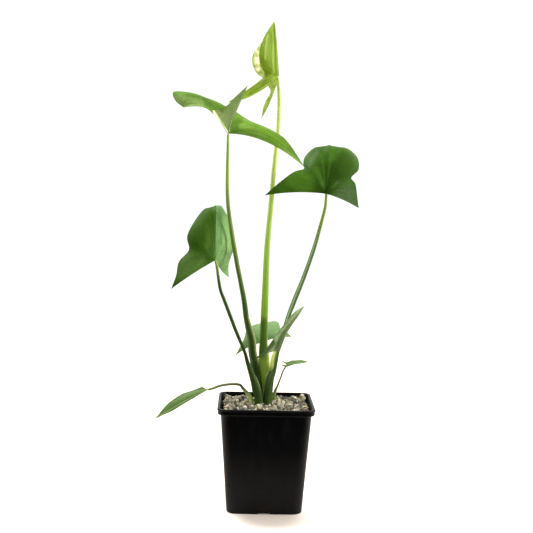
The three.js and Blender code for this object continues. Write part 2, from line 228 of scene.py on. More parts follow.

# %% [markdown]
# ## Floor, world and lights
#
# The plant stands on a sheet of white paper in a bright studio. The light is soft and comes from
# above and behind, which makes the thin blades glow, while the side towards the camera is dim, so
# that the black pot stays black. The world gives that: its brightness depends on the direction only.
# Rays that go straight to the camera see plain white. The paper has a painted glow that keeps it white,
# and the glow fades out round the pot's foot, which paints a soft shadow there over the real one; the
# paper's warm base colour shows only in that shadow. It is marked as stage, because it isn't part of the
# plant.

# %% World and floor
FRONT_LIGHT, BACK_LIGHT, LIGHT_FROM_BELOW = 0.22, 1.1, 0.05
SEEN_WHITE = 1.1

scene.view_settings.view_transform = "Standard"
world = bpy.data.worlds.new("studio")
world.use_nodes = True
world.node_tree.nodes.clear()
scene.world = world
sky = Tree(world.node_tree)
direction = sky.node("ShaderNodeTexCoord", out="Generated")
brightness = direction.part("Y").ramp(-0.95, -0.25, FRONT_LIGHT, BACK_LIGHT)
brightness = brightness * direction.part("Z").ramp(-0.12, 0.02, LIGHT_FROM_BELOW, 1.0)
seen = sky.node("ShaderNodeLightPath", out="Is Camera Ray")
brightness = brightness * (1 - seen) + seen * SEEN_WHITE
glow = sky.node("ShaderNodeBackground", {"Color": (1.0, 1.0, 1.0, 1.0), "Strength": brightness})
sky.node("ShaderNodeOutputWorld", {"Surface": glow})


def piece_from(name, points, faces, materials, faces_use=None):
    """A mesh object at the origin. The points are in metres."""
    mesh = bpy.data.meshes.new(name)
    mesh.from_pydata([tuple(p) for p in points], [], [tuple(f) for f in faces])
    for material in materials:
        mesh.materials.append(material)
    if faces_use is not None:
        mesh.polygons.foreach_set("material_index", faces_use)
    return add_object(name, mesh)


paper = Finish("white_paper")
paper_grain = paper.noise(0.004).ramp(0.3, 0.7, 0.90, 0.95)
PAINTED_SHADOW_X, PAINTED_SHADOW_Y = 0.004, -0.044  # the middle of the painted soft shadow in front of the foot, where the paper's painted glow is gone
from_painted_shadow = ((paper.place.part("X") - PAINTED_SHADOW_X) ** 2 + (paper.place.part("Y") - PAINTED_SHADOW_Y) ** 2) ** 0.5
# Painted light and shade: the paper's glow fades out near the pot, which paints the soft shadow, and the
# warm base colour gives that shadow its tone.
painted_paper_glow = paper.tint((1.0, 0.96, 0.92), from_painted_shadow.ramp(0.016, 0.050))
paper_shader = paper.node("ShaderNodeBsdfPrincipled", {
    "Base Color": paper.tint((0.80, 0.70, 0.61), paper_grain), "Roughness": 0.9,
    "Specular IOR Level": 0.1, "Emission Color": painted_paper_glow, "Emission Strength": 0.62,
})
floor_corners = [(-1.2, -0.12, 0), (1.2, -0.12, 0), (1.2, 1.6, 0), (-1.2, 1.6, 0)]
floor = piece_from("floor", floor_corners, [(0, 1, 2, 3)], [paper.surface(paper_shader)])
floor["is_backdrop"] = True

# %% Lights
def soft_light(name, place, target, size, power):
    """A round softbox, in metres and watts, that faces its target."""
    data = bpy.data.lights.new(name, "AREA")
    data.shape = "DISK"
    data.size = size
    data.energy = power
    light = add_object(name, data)
    light.location = place
    back = np.subtract(place, target)
    light.rotation_euler = Vector(back).to_track_quat("Z", "Y").to_euler()


soft_light("top_softbox", (-0.5, 0.45, 1.3), (0, 0, 0.2), 0.6, 12)
soft_light("right_softbox", (1.2, -0.2, 0.75), (0, 0, 0.25), 0.5, 14)

# %% [markdown]
# ## The leaves' guide lines
#
# Each leaf is described by a handful of points in millimetres: the middle of its stalk with a radius
# at each point, the tip of the blade, and the margin of each half from beside the tip to the point
# of its basal lobe. The bows say how far the blade's veins stand off a straight line: along the
# midrib, through the middle of the half, and along the inner edge of the lobe. A notch is how far
# along the margin the waist between the two lobes lies. These are the CAD model's own lines, so the
# finished leaves lie where the solids are.

# %% Guide lines of the eight leaves
LEAVES = {
    "tall": {
        "stalk": [(-1, 2, 84, 4.6), (-1, 2, 101, 4.6), (-1.6, 3, 128, 5.2), (-2.8, 4, 145, 4.5),
            (-3, 4, 157, 3.8), (-2.5, 6, 195, 3.3), (-1.5, 8, 243, 2.8), (1, 10, 281, 2.5),
            (4, 12, 325, 2.2), (6.5, 12, 354, 2), (7, 12, 383, 1.8), (6, 11, 398, 1.6), (5, 10, 406, 1.3)],
        "near": [(-1, 4, 455), (-9, -8, 440), (-13, -12, 426), (-12, -8, 415), (-8, -2, 407),
            (-14.5, -6, 398.5), (-24.5, -10, 390.5), (-41, -12, 379)],
        "far": [(-1, 13, 453.5), (-11.5, 22, 439), (-18.5, 26, 430), (-19, 25, 420), (-14, 21, 410),
            (-9.5, 18, 406.5), (-3.5, 15, 398), (-1.5, 17, 392.5), (-7, 22, 381.5), (-9.5, 26, 368)],
        "tip": (1, 8, 457), "notches": (0.62, 0.68), "upper_side": 1,
        "near_bows": [(0.5, 0, 0), (3, -6, 2), (0, 0, -5)], "far_bows": [(0.5, 0, 0), (3, 6, 2), (2, 0, 0)],
    },
    "upper_left": {
        "stalk": [(-6, 1, 84, 4.4), (-6, 1, 101, 4.4), (-9.4, 1, 128, 4.5), (-13.2, 1, 145, 3.9),
            (-14.6, 1, 157, 3.6), (-19.5, 1, 176, 2.7), (-22.5, 1, 195, 2.4), (-26.5, 1, 214, 2.2),
            (-30.5, 0, 233, 2.1), (-38, -1, 275, 1.9), (-40, -2, 294, 1.8), (-40.5, -3, 317, 1.6),
            (-40.5, -3, 336, 1.4), (-40.5, -3, 351, 1.2)],
        "near": [(-74, -8, 375), (-65, -18, 374), (-55, -26, 370), (-42.5, -36, 372.5), (-33, -50, 380.5),
            (-23, -62, 388.5)],
        "far": [(-91, 10, 381.5), (-94, 20, 391), (-80, 30, 392), (-68, 35, 389), (-55, 37, 385),
            (-44, 36, 380), (-33.5, 30, 374.5), (-17, 20, 363.5), (6, 2, 352.5), (17.5, -6, 341.5),
            (31, -14, 321)],
        "tip": (-83, 4, 375), "notches": (0.42, 0.6), "upper_side": -1,
        "near_bows": [(1, 0, 12), (0, 0, 3), (0, 0, 2)], "far_bows": [(1, 0, 12), (0, 0, 8), (0, 0, 7.7)],
    },
    "right": {
        "stalk": [(2, -3, 84, 4.2), (2, -3, 102, 4.1), (3.7, -3, 120, 3.7), (6.6, -3, 129, 2.9),
            (10, -4, 147, 2.2), (14, -4, 160, 2.2), (19, -5, 179, 2.1), (25, -5, 196, 2.3),
            (33.5, -6, 219, 2.1), (41.5, -8, 244, 1.9), (46.5, -9, 263, 1.7), (51, -10, 282, 1.5),
            (52, -10, 291, 1.4), (52, -10, 297, 1.2)],
        "near": [(47, 52, 330), (39.5, 40, 337.5), (33, 26, 331.5), (31, 8, 324), (31, -1, 320),
            (22, -7, 317), (9, -13, 307), (-5.5, -20, 294)],
        "far": [(72, 52, 330), (81, 40, 337.5), (85.5, 24, 330.5), (84, 8, 320.5), (75.5, -6, 312.5),
            (78, -20, 306), (78, -36, 295), (78, -50, 284)],
        "tip": (60, 56, 316), "notches": (0.62, 0.62), "upper_side": -1,
        "near_bows": [(0, -8, 37), (0, -6, 6), (0, 0, 2)],
        "far_bows": [(0, -8, 37), (0, -6, 6), (0, 0, 1.2)],
    },
    "middle_left": {
        "stalk": [(-6, -6, 84, 4.2), (-7, -6, 103, 4), (-9, -7, 110, 3.9), (-12, -8, 120, 3.1),
            (-18, -8, 137, 2), (-21, -9, 147, 1.6), (-30, -11, 168, 1.7), (-33.5, -12, 177, 1.7),
            (-41, -14, 196, 1.6), (-44.5, -15, 205, 1.5), (-46.5, -15, 215, 1.4), (-48.5, -15, 228, 1.3),
            (-50, -14, 233, 1.1)],
        "near": [(-60, 36, 272), (-65, 24, 277.5), (-72, 6, 267), (-77, -8, 254), (-74.5, -16, 242),
            (-83, -24, 231), (-85, -30, 219), (-89, -34, 207)],
        "far": [(-48, 42, 275), (-44.5, 34, 280.5), (-37, 26, 268), (-35, 16, 257), (-36, 12, 248),
            (-34, 16, 242), (-38, 24, 227), (-38, 32, 214)],
        "tip": (-52, 45, 262), "notches": (0.6, 0.6), "upper_side": -1,
        "near_bows": [(0, -8, 35), (0, -6, 6), (0, 0, 1)],
        "far_bows": [(0, -8, 35), (0, -4, 6), (-1, 0, -1)],
    },
    "rear": {
        "stalk": [(-1, 9, 84, 2.2), (-1, 9, 100, 2), (-3, 13, 117, 1.6), (-3, 20, 135, 1.2),
            (-3, 28, 151, 1)],
        "near": [(-12, 68, 160), (-16, 56, 162), (-20, 44, 159), (-21, 36, 157), (-23, 30, 151),
            (-30, 24, 138)],
        "far": [(8, 70, 164), (12, 58, 168), (14, 46, 165), (15, 38, 162), (19, 34, 162), (25, 28, 157)],
        "tip": (-2, 78, 156), "notches": (0.72, 0.72), "upper_side": -1,
        "near_bows": [(0, -4, 14), (0, -3, 5), (0, 0, 2)], "far_bows": [(0, -4, 14), (0, -3, 5), (0, 0, 2)],
    },
    "inner": {
        "stalk": [(4, 3, 84, 2.2), (4, 3, 101, 2), (4, 1, 119, 1.7), (5, -5, 132, 1.8), (5.5, -8, 141, 1.7),
            (7.5, -10, 148.5, 1.1)],
        "near": [(30.5, -16, 186), (26, -16, 178.5), (21.5, -15, 172), (17.5, -14, 164), (14.5, -13, 156),
            (12, -12, 148)],
        "far": [(26.5, -17, 187.5), (19, -18, 180), (12, -19, 171.5), (5.5, -20, 161), (-2, -20, 151),
            (-13.5, -21, 140)],
        "tip": (34, -15, 192), "notches": (0.5, 0.5), "upper_side": 1,
        "near_bows": [(-3, -2, 1), (0, -1, 0), (0, 0, 0)], "far_bows": [(-3, -2, 1), (-1, 0, 1), (0, 0, 1)],
    },
    "low_left": {
        "stalk": [(-12, -2, 84, 1.8), (-14, -2, 101, 1.9), (-18, -3, 107, 1.7), (-22, -4, 111.5, 1.4),
            (-25, -5, 114.9, 1.25), (-33, -8, 115.9, 1.2), (-43, -11, 114.9, 1.2), (-50, -13, 112.5, 1.15),
            (-55, -15, 111.5, 1.05)],
        "near": [(-95, -30, 89.8), (-87, -29, 93.8), (-78, -26, 98.8), (-67, -21, 104.8),
            (-58, -17, 109.8)],
        "far": [(-96, -22, 93.8), (-90, -17, 99.8), (-79, -12, 106), (-69, -10, 110), (-60, -12, 113.8)],
        "tip": (-102.5, -26, 85.5), "notches": (0.85, 0.85), "upper_side": -1,
        "near_bows": [(0, 0, 2), (0, 0, 1), (0, 0, 0)], "far_bows": [(0, 0, 2), (0, 0, 1), (0, 0, 0)],
    },
    "small_right": {
        "stalk": [(8, 4, 84, 1.7), (8, 4, 99, 1.7), (9, 5, 107, 1.5), (11, 5, 112, 1), (14, 6, 120, 0.8),
            (16, 6, 126, 0.8), (18, 6, 130, 0.8), (20, 5, 133, 0.7)],
        "near": [(34, -5, 136.5), (28, -5, 135.5), (24, -2, 134), (20.5, 2, 132), (18, 1, 132),
            (12, -2, 134.5)],
        "far": [(34, 2, 138.5), (28, 6, 137.5), (24, 7, 137), (21, 7, 135.5), (18.5, 8, 135.5),
            (13.5, 10, 137)],
        "tip": (40, -2, 137.5), "notches": (0.6, 0.6), "upper_side": 1,
        "near_bows": [(0, 0, 1), (0, 0, 0), (0, 0, 0)], "far_bows": [(0, 0, 1), (0, 0, 0), (0, 0, 0)],
    },
}

# %% [markdown]
# ## A smooth curve through points
#
# A uniform Catmull-Rom curve passes through every guide point, with a slope taken from its two
# neighbours. It works for points of any length, so a stalk's radius is smoothed with its place.

# %% Curves
def curve_at(points, shares):
    """Points of the smooth curve, at shares of its way from 0 to 1."""
    given = np.asarray(points, float)
    shares = np.atleast_1d(np.asarray(shares, float))
    padded = np.vstack([2 * given[0] - given[1], given, 2 * given[-1] - given[-2]])
    spans = len(given) - 1
    span = np.minimum((shares * spans).astype(int), spans - 1)
    s = (shares * spans - span)[:, None]
    a, b, c, d = (padded[span + k] for k in range(4))
    return b + 0.5 * s * (c - a + s * (2 * a - 5 * b + 4 * c - d + s * (3 * (b - c) + d - a)))


def unit(vectors):
    return vectors / np.maximum(np.linalg.norm(vectors, axis=-1, keepdims=True), 1e-12)


def frames_along(path):
    """Two unit vectors across a path at each of its points, carried along without twisting."""
    forward = unit(np.gradient(path, axis=0))
    side = np.array([1.0, 0.0, 0.0])
    sides = []
    for direction_here in forward:
        side = unit(side - direction_here * (side @ direction_here))
        sides.append(side)
    sides = np.array(sides)
    return sides, np.cross(forward, sides)


def tube_faces(rings, sides, first=0):
    """Faces of a closed tube of rings that follow one another, with a fan of faces at each end."""
    faces = []
    for i in range(rings - 1):
        for k in range(sides):
            a, b = first + i * sides + k, first + i * sides + (k + 1) % sides
            faces.append((a, b, b + sides, a + sides))
    start, end = first, first + (rings - 1) * sides
    faces.append(tuple(start + k for k in reversed(range(sides))))
    faces.append(tuple(end + k for k in range(sides)))
    return faces


def tube(path, radii, sides, first=0):
    """Rings of points round a path, a row of radii for each ring, and the faces between the rings."""
    side, across = frames_along(path)
    angles = np.linspace(0, 2 * math.pi, sides, endpoint=False)
    ring = np.cos(angles)[None, :, None] * side[:, None] + np.sin(angles)[None, :, None] * across[:, None]
    points = (path[:, None] + ring * radii[:, :, None]).reshape(-1, 3)
    return points, tube_faces(len(path), sides, first)


def smooth(piece, sharp_from):
    """Smooth shading, with a hard edge wherever the surface turns by more than this many degrees."""
    piece.data.shade_smooth()
    piece.data.set_sharp_from_angle(angle=math.radians(sharp_from))


def add_attribute(mesh, name, kind, values):
    made = mesh.attributes.new(name, kind, "POINT")
    made.data.foreach_set("value" if kind == "FLOAT" else "vector", np.asarray(values, float).ravel())

# %% [markdown]
# ## The shape of a blade
#
# An arrowhead blade is a thin sheet that hangs from the end of its stalk. All of its veins start
# there: the midrib runs to the tip, and others fan out to the margin and back into two long lobes.
# The sheet could be modelled by hand, but a rule fits it better. A point is named by two numbers:
# `reach`, from the stalk's end to the margin, and `fan`, from the midrib round to the inner edge of
# the lobe. Straight lines from the stalk's end to the margin are bowed, and the waist between the
# lobes is always at fan one half, so that one vein pattern suits every leaf.

# %% The middle surface of one half
ROWS = 26
COLUMNS = 46
THICKNESS = 0.42
FLUTTER = 0.006  # height of the margin's small waves, as a share of the blade's length


def half_surface(join, tip, margin, bows, notch, seed):
    """Points of a half blade in mm, as columns of rows. The columns are even steps of fan."""
    fans = np.linspace(0, 1, COLUMNS + 1)
    shares = np.where(fans < 0.5, fans * 2 * notch, notch + (fans - 0.5) * 2 * (1 - notch))
    edge = curve_at([tip, *margin], shares)
    length = np.linalg.norm(np.asarray(tip) - join)
    rng = np.random.default_rng(seed)
    waves = rng.uniform(0, 2 * math.pi, 2)
    flutter = np.sin(9 * shares + waves[0]) + 0.6 * np.sin(17 * shares + waves[1])
    flutter *= np.sin(math.pi * np.clip(shares, 0, 1)) * FLUTTER * length
    one, two, three = (np.asarray(bow, float) for bow in bows)
    v = shares[:, None]
    bow = one * (1 - v) * (1 - 2 * v) + two * 4 * v * (1 - v) + three * v * (2 * v - 1)
    u = (np.arange(1, ROWS + 1) / ROWS)[None, :, None]
    sheet = join + (edge - join)[:, None] * u + bow[:, None] * 4 * u * (1 - u)
    across = np.cross(np.gradient(sheet, axis=0), np.gradient(sheet, axis=1))
    return sheet + unit(across) * flutter[:, None, None] * u**3

# %% [markdown]
# ## A blade with an upper and a lower skin
#
# The middle surface gets two skins, a little way above and below it, and a narrow strip that joins
# them round the margin. A real blade is under half a millimetre thick and thinner at its edge. The
# two skins have materials of their own, because the underside is paler and duller. The reach and
# fan numbers go into a UV map, and the width of one unit of fan, in millimetres, into another, so
# that veins can be drawn at a true width.

# %% Build a blade
THIN_FROM = 0.8  # the reach where a blade begins to thin
EDGE_THINNING = 0.55
WIDTH_SCALE = 0.01  # brings widths in mm down to the range of a UV map


def blade_mesh(leaf, seed):
    """The grid of the middle surface in mm, which way is down at each of its points, then the two skins:
    points, faces, the material of each face, and the numbers at each corner."""
    join = np.array(leaf["stalk"][-1][:3], float)
    halves = []
    for side, notch, half_seed in zip(("near", "far"), leaf["notches"], (seed, seed + 7)):
        halves.append(half_surface(join, leaf["tip"], leaf[side], leaf[f"{side}_bows"], notch, half_seed))
    near, far = halves
    fans = np.linspace(0, 1, COLUMNS + 1)
    near[0] = far[0] = (near[0] + far[0]) / 2
    columns = np.vstack([near[::-1], far[1:]])
    fan_of = np.concatenate([fans[::-1], fans[1:]])
    side_of = np.concatenate([-np.ones(COLUMNS), [0.0], np.ones(COLUMNS)])
    count = len(columns)
    middle = np.vstack([join, columns.reshape(-1, 3)])

    grid = np.zeros((count, ROWS + 1), int)  # which point lies at a column and a row: row 0 is the join
    grid[:, 1:] = 1 + np.arange(count * ROWS).reshape(count, ROWS)
    cells = []
    for c in range(count - 1):
        for r in range(ROWS):
            corners = [(c, r), (c, r + 1), (c + 1, r + 1), (c + 1, r)]
            cells.append(corners[:3] if r == 0 else corners)
    normals = np.zeros_like(middle)
    for corners in cells:
        a, b, d = (middle[grid[corner]] for corner in (corners[0], corners[1], corners[-1]))
        for corner in corners:
            normals[grid[corner]] += np.cross(b - a, d - a)
    normals = unit(normals) * leaf["upper_side"]

    reach_of = np.concatenate([[0.0], np.tile(np.arange(1, ROWS + 1) / ROWS, count)])
    thinning = np.clip((reach_of - THIN_FROM) / 0.2, 0, 1)
    thick = THICKNESS * (1 - EDGE_THINNING * thinning)[:, None]
    upper = middle + normals * thick / 2
    lower = middle - normals * thick / 2
    shift = len(middle)
    faces, uses, corner_data = [], [], []
    width = np.linalg.norm(np.gradient(columns, axis=0), axis=2) * COLUMNS

    def add_face(corners, below, use):
        faces.append([int(grid[corner]) + shift * low for corner, low in zip(corners, below)])
        uses.append(use)
        fan_here = [fan_of[c] for c, r in corners]
        for c, r in corners:
            fan = fan_of[c] if r else sum(fan_here) / len(fan_here)
            corner_data.append((r / ROWS, fan, width[c, max(r - 1, 0)] * WIDTH_SCALE, side_of[c]))

    forwards = leaf["upper_side"] > 0
    for corners in cells:
        ordered = corners if forwards else corners[::-1]
        add_face(ordered, [False] * len(ordered), 0)
        add_face(ordered[::-1], [True] * len(ordered), 1)
    rim = [(0, r) for r in range(ROWS)] + [(c, ROWS) for c in range(count)]
    rim += [(count - 1, r) for r in reversed(range(ROWS))]
    for start, end in zip(rim, rim[1:]):
        ends = (end, start) if forwards else (start, end)
        add_face([ends[0], ends[1], ends[1], ends[0]], [False, False, True, True], 0)
    return middle[grid], unit(lower - middle)[grid], np.vstack([upper, lower]), faces, uses, corner_data

# %% [markdown]
# ## Raised ribs
#
# Turn an arrowhead leaf over and its main veins stand up like cords: one along the midrib, two that
# run out into the lobes, and thinner ones between. On the sheet, such a vein keeps a steady share of
# the angle at the stalk and closes on the tip as it goes out. Each rib here is a thin closed tube
# that sinks into the underside and narrows to a thread.

# %% Ribs
RIB_SIDES = 7
RIB_RINGS = 22
CLOSING = 2.4  # how late the veins bend in towards the tip
TAPER, SUNK = 0.85, 0.05  # the share of its radius that a rib loses, and how deep it sits in mm
MIDRIB_END = 0.93
# The ribs of a half: fan number at the stalk, reach where it ends, and radius as a share of the midrib's.
HALF_RIBS = ((0.9, 0.93, 0.62), (0.72, 0.8, 0.34), (0.14, 0.85, 0.34), (0.28, 0.85, 0.34), (0.42, 0.8, 0.3))


def rib_points(sheet, down, half, fan_at_stalk, end):
    """Points along one vein of a half, in mm, and which way is down at each."""
    reach = np.linspace(0.02, end, RIB_RINGS)
    if fan_at_stalk <= 0.5:
        fan = fan_at_stalk * (1 - reach**CLOSING)
    else:
        fan = 1 - (1 - fan_at_stalk) * (1 - reach**CLOSING)
    column, row = COLUMNS + half * fan * COLUMNS, reach * ROWS
    c = np.clip(np.floor(column).astype(int), 0, 2 * COLUMNS - 1)
    r = np.clip(np.floor(row).astype(int), 0, ROWS - 1)
    across, up = (column - c)[:, None], (row - r)[:, None]
    first, second = (sheet[k, r] * (1 - up) + sheet[k, r + 1] * up for k in (c, c + 1))
    return first * (1 - across) + second * across, down[c, r]


def make_blade(name, leaf, materials, seed, midrib):
    sheet, down, points, faces, uses, corner_data = blade_mesh(leaf, seed)
    ribs = [(1, 0.0, MIDRIB_END, 1)] + [(half, *rib) for half in (-1, 1) for rib in HALF_RIBS]
    for half, fan, end, share in ribs:
        path, below = rib_points(sheet, down, half, fan, end)
        radii = midrib * share * (1 - np.linspace(0, 1, RIB_RINGS) ** 1.2 * TAPER)[:, None]
        path = path + below * (radii - SUNK)
        tube_points, tube_cells = tube(path, radii, RIB_SIDES, len(points))
        points = np.vstack([points, tube_points])
        faces += tube_cells
        uses += [2] * len(tube_cells)
        corner_data += [(0.0, 0.0, 0.0, 0.0)] * sum(len(cell) for cell in tube_cells)
    piece = piece_from(name, points * MM, faces, materials, uses)
    data = np.array(corner_data)
    for layer_name, pair in (("veins", data[:, :2]), ("scale", data[:, 2:])):
        layer = piece.data.uv_layers.new(name=layer_name)
        layer.data.foreach_set("uv", np.ascontiguousarray(pair).ravel())
    smooth(piece, 50)
    return piece

# %% [markdown]
# ## The finish of a blade
#
# Leaf green isn't one colour. It is darker and bluer where the tissue is thick, lighter along the
# veins, and it drifts a little from patch to patch. The vein lines come from the blade's own reach
# and fan numbers, with the same closing rule as the ribs, so the drawn lines lie over the raised
# ones. A bump puffs the tissue up between them. Part of the light goes through: a translucent shader
# is mixed in, with more of it in young leaves.

# %% Veins and strokes
HIGHLIGHT_ABOVE = 0.35  # a stroke paler than this in every channel is a painted highlight, which also lets light through
SHADE_BELOW = 0.13  # a stroke darker than this in every channel is painted shade, which stops the light coming through
HIGHLIGHT_GLOW_COLOUR, HIGHLIGHT_GLOW_SHARE = (1.0, 1.0, 0.8), 0.9
VEINS_TO_TIP, VEINS_TO_LOBE, FINE_VEINS = 3.6, 3.5, 19


def vein_distance(ratio, count, span):
    """Distance in mm from the nearest of the veins that share out a ratio of 0 to 1."""
    step = (ratio * count + 0.5).sum("FRACT") - 0.5
    return step.sum("ABSOLUTE") * (span / count)


def stroke(finish, start, end, width, softness, inside=1.0, outside=0.0):
    """A line between two points (X, Z) in mm, as seen from the front, with a soft edge."""
    x = finish.place.part("X") - start[0] * MM
    z = finish.place.part("Z") - start[1] * MM
    run, rise = (end[0] - start[0]) * MM, (end[1] - start[1]) * MM
    share = ((x * run + z * rise) / (run**2 + rise**2)).sum("MAXIMUM", 0.0).sum("MINIMUM", 1.0)
    distance = ((x - share * run) ** 2 + (z - share * rise) ** 2) ** 0.5
    return distance.ramp(width * MM, (width + softness) * MM, inside, outside)

# %% Blade finishes
def blade_finish(name, deep, light, vein, glow, glow_share, roughness, raised, painted_light_half, strokes, shine):
    """One skin: its greens, the light let through, and how far it swells between the veins."""
    skin = Finish(name)
    layers = ("veins", "scale")
    place, scale = (skin.node("ShaderNodeUVMap", settings={"uv_map": layer}) for layer in layers)
    reach, fan = place.part("X"), place.part("Y")
    spread = (1 - reach**CLOSING).sum("MAXIMUM", 0.05)
    span = scale.part("X") * (0.5 / WIDTH_SCALE) * spread
    front, back = fan * 2 / spread, (1 - fan) * 2 / spread
    in_front = fan.ramp(0.47, 0.5, 1.0, 0.0)
    to_lobe = vein_distance(back - 0.2, VEINS_TO_LOBE, span)
    to_tip = vein_distance(front, VEINS_TO_TIP, span)
    distance = skin.node("ShaderNodeMix", {0: in_front, 2: to_lobe, 3: to_tip})
    ratio = skin.node("ShaderNodeMix", {0: in_front, 2: back, 3: front})
    inside = ratio.ramp(1.0, 1.25, 1.0, 0.0)
    lines = distance.ramp(0.08, 0.45, 1.0, 0.0) * inside
    wander = skin.noise(0.012) * 0.05
    fine = vein_distance(ratio + wander, FINE_VEINS, span).ramp(0.0, 0.3, 1.0, 0.0) * inside
    cushion = distance.ramp(0.0, 2.6, 0.0, 1.0)
    patches = skin.noise(0.018, 3.0).ramp(0.35, 0.65)
    speckle = skin.noise(0.0011, 3.0).ramp(0.3, 0.7, 0.86, 1.14)
    colour = skin.mix(patches * 0.55 + cushion * 0.25, deep, light)
    for mask in (fine * 0.14, lines * 0.5):
        colour = skin.mix(mask, colour, vein)
    # The half beyond the midrib is painted paler, as painted glare and through-light on one leaf and
    # painted side light on another.
    if painted_light_half:
        painted_light_colour, other_share, even, in_lobe, bright_line = painted_light_half
        light_blotches = skin.noise(0.007, 2.0).ramp(0.40, 0.50, even, 1.0)
        painted_light_mask = scale.part("Y").ramp(0.0, 0.2) * light_blotches * (in_front * (1 - in_lobe) + in_lobe)
        if bright_line:
            painted_light_mask = painted_light_mask * stroke(skin, *bright_line, outside=0.45)
        colour = skin.mix(painted_light_mask * (1 - lines * 0.12), colour, painted_light_colour)
    # Strokes paint light and shade: a pale one is a painted highlight that also glows, a very dark one is
    # painted shade that lets no light through.
    clear = 0.0
    for *line, stroke_colour, strength in strokes:
        along = stroke(skin, *line, inside=strength)
        colour = skin.mix(along, colour, stroke_colour)
        if min(stroke_colour) > HIGHLIGHT_ABOVE:
            clear = along.sum("MAXIMUM", clear)
        if max(stroke_colour) < SHADE_BELOW:
            glow_share = glow_share * (1 - along)
    margin = reach.ramp(0.975, 0.995)
    colour = skin.tint(colour, speckle * (1 - margin * 0.4))
    height = cushion * raised + fine * (-0.08 * raised) + skin.noise(0.004, 3.0) * 0.2
    normal = skin.bump(height, 0.0003, 0.6)
    gloss = skin.noise(0.009, 3.0).ramp(0.3, 0.7, roughness - 0.06, roughness + 0.08)
    through = skin.thin(glow, Normal=normal)
    if painted_light_half:
        through = skin.blend(painted_light_mask, through, skin.thin(painted_light_colour, Normal=normal))
        glow_share = painted_light_mask * (other_share - glow_share) + glow_share
    if isinstance(clear, Wire):
        through = skin.blend(clear, through, skin.thin(HIGHLIGHT_GLOW_COLOUR, Normal=normal))
        glow_share = clear * (HIGHLIGHT_GLOW_SHARE - glow_share) + glow_share
    return skin.surface(skin.blend(glow_share, skin.solid(colour, gloss, normal, shine), through))


def rib_finish(name, pale, green):
    rib = Finish(name)
    streaks = rib.noise(0.0015, 3.0, stretch=(1, 1, 0.2)).ramp(0.3, 0.7)
    colour = rib.mix(streaks, pale, green)
    return rib.surface(rib.solid(colour, streaks * 0.1 + 0.4, rib.bump(streaks, 0.0001), 0.15))

# %% [markdown]
# ## The colours of the blades
#
# A living leaf is never one even green. Each blade has a deep and a light green, a colour for its
# veins and one for the light that comes through, once for the upper and once for the lower skin.
# A few soft strokes paint light and shade onto the blades: painted shade in creases and folds, under an
# edge and on parts turned from the light, and painted highlights and sheen along folds, edges and
# shoulders; a few follow veins. A pale stroke is a painted highlight that also glows, and a very dark
# one is painted shade that lets no light through. On two leaves the half beyond the midrib is painted
# paler: painted glare and light coming through on the tallest, painted light from the side on the middle
# left one.
# An image wrapped round the leaf could do this too, but strokes stay sharp and are easy to move.

# %% Blade colours
# Two rows for each blade, its upper skin and its lower one: deep green, light green, the colour of the
# veins, the colour and the share of the light let through, and roughness. Besides each leaf's own
# colour, these greens hold painted light and shade: each blade's were set to how brightly it is lit.
DARK_GLOW = (0.12, 0.34, 0.01)
DARK_UNDERSIDE = ((0.12, 0.2, 0.06), (0.19, 0.28, 0.1), (0.3, 0.38, 0.17), (0.14, 0.36, 0.02), 0.15, 0.5)
INNER_SKIN = ((0.44, 0.56, 0.32), (0.58, 0.68, 0.46), (0.6, 0.68, 0.48), (0.62, 0.8, 0.42), 0.36)
BLADE_LOOKS = {
    "tall": (
        ((0.23, 0.35, 0.04), (0.39, 0.49, 0.09), (0.1, 0.19, 0.015), (0.46, 0.6, 0.08), 0.36, 0.38),
        ((0.42, 0.58, 0.08), (0.62, 0.76, 0.16), (0.3, 0.44, 0.05), (0.82, 0.95, 0.25), 0.55, 0.42),
    ),
    "upper_left": (
        ((0.15, 0.3, 0.035), (0.26, 0.43, 0.07), (0.34, 0.52, 0.14), (0.3, 0.6, 0.05), 0.3, 0.38),
        ((0.46, 0.54, 0.26), (0.62, 0.7, 0.4), (0.78, 0.84, 0.6), (0.66, 0.8, 0.42), 0.42, 0.5),
    ),
    "right": (
        ((0.042, 0.115, 0.008), (0.078, 0.185, 0.014), (0.064, 0.152, 0.013), DARK_GLOW, 0.12, 0.36),
        DARK_UNDERSIDE,
    ),
    "middle_left": (
        ((0.042, 0.115, 0.008), (0.08, 0.185, 0.016), (0.09, 0.19, 0.025), DARK_GLOW, 0.12, 0.36),
        DARK_UNDERSIDE,
    ),
    "rear": (
        ((0.17, 0.31, 0.09), (0.29, 0.44, 0.2), (0.42, 0.55, 0.3), (0.33, 0.58, 0.14), 0.25, 0.42),
        ((0.28, 0.4, 0.18), (0.38, 0.52, 0.28), (0.46, 0.56, 0.36), (0.38, 0.62, 0.2), 0.3, 0.52),
    ),
    "inner": ((*INNER_SKIN, 0.42), (*INNER_SKIN, 0.5)),
    "low_left": (
        ((0.13, 0.24, 0.05), (0.24, 0.36, 0.12), (0.34, 0.44, 0.2), (0.22, 0.48, 0.05), 0.2, 0.42),
        ((0.18, 0.26, 0.1), (0.28, 0.36, 0.18), (0.38, 0.46, 0.26), (0.22, 0.48, 0.05), 0.2, 0.52),
    ),
    "small_right": (
        ((0.15, 0.28, 0.06), (0.26, 0.4, 0.14), (0.34, 0.46, 0.22), (0.25, 0.5, 0.06), 0.22, 0.42),
        ((0.18, 0.28, 0.1), (0.28, 0.38, 0.18), (0.38, 0.46, 0.26), (0.25, 0.5, 0.06), 0.22, 0.52),
    ),
}
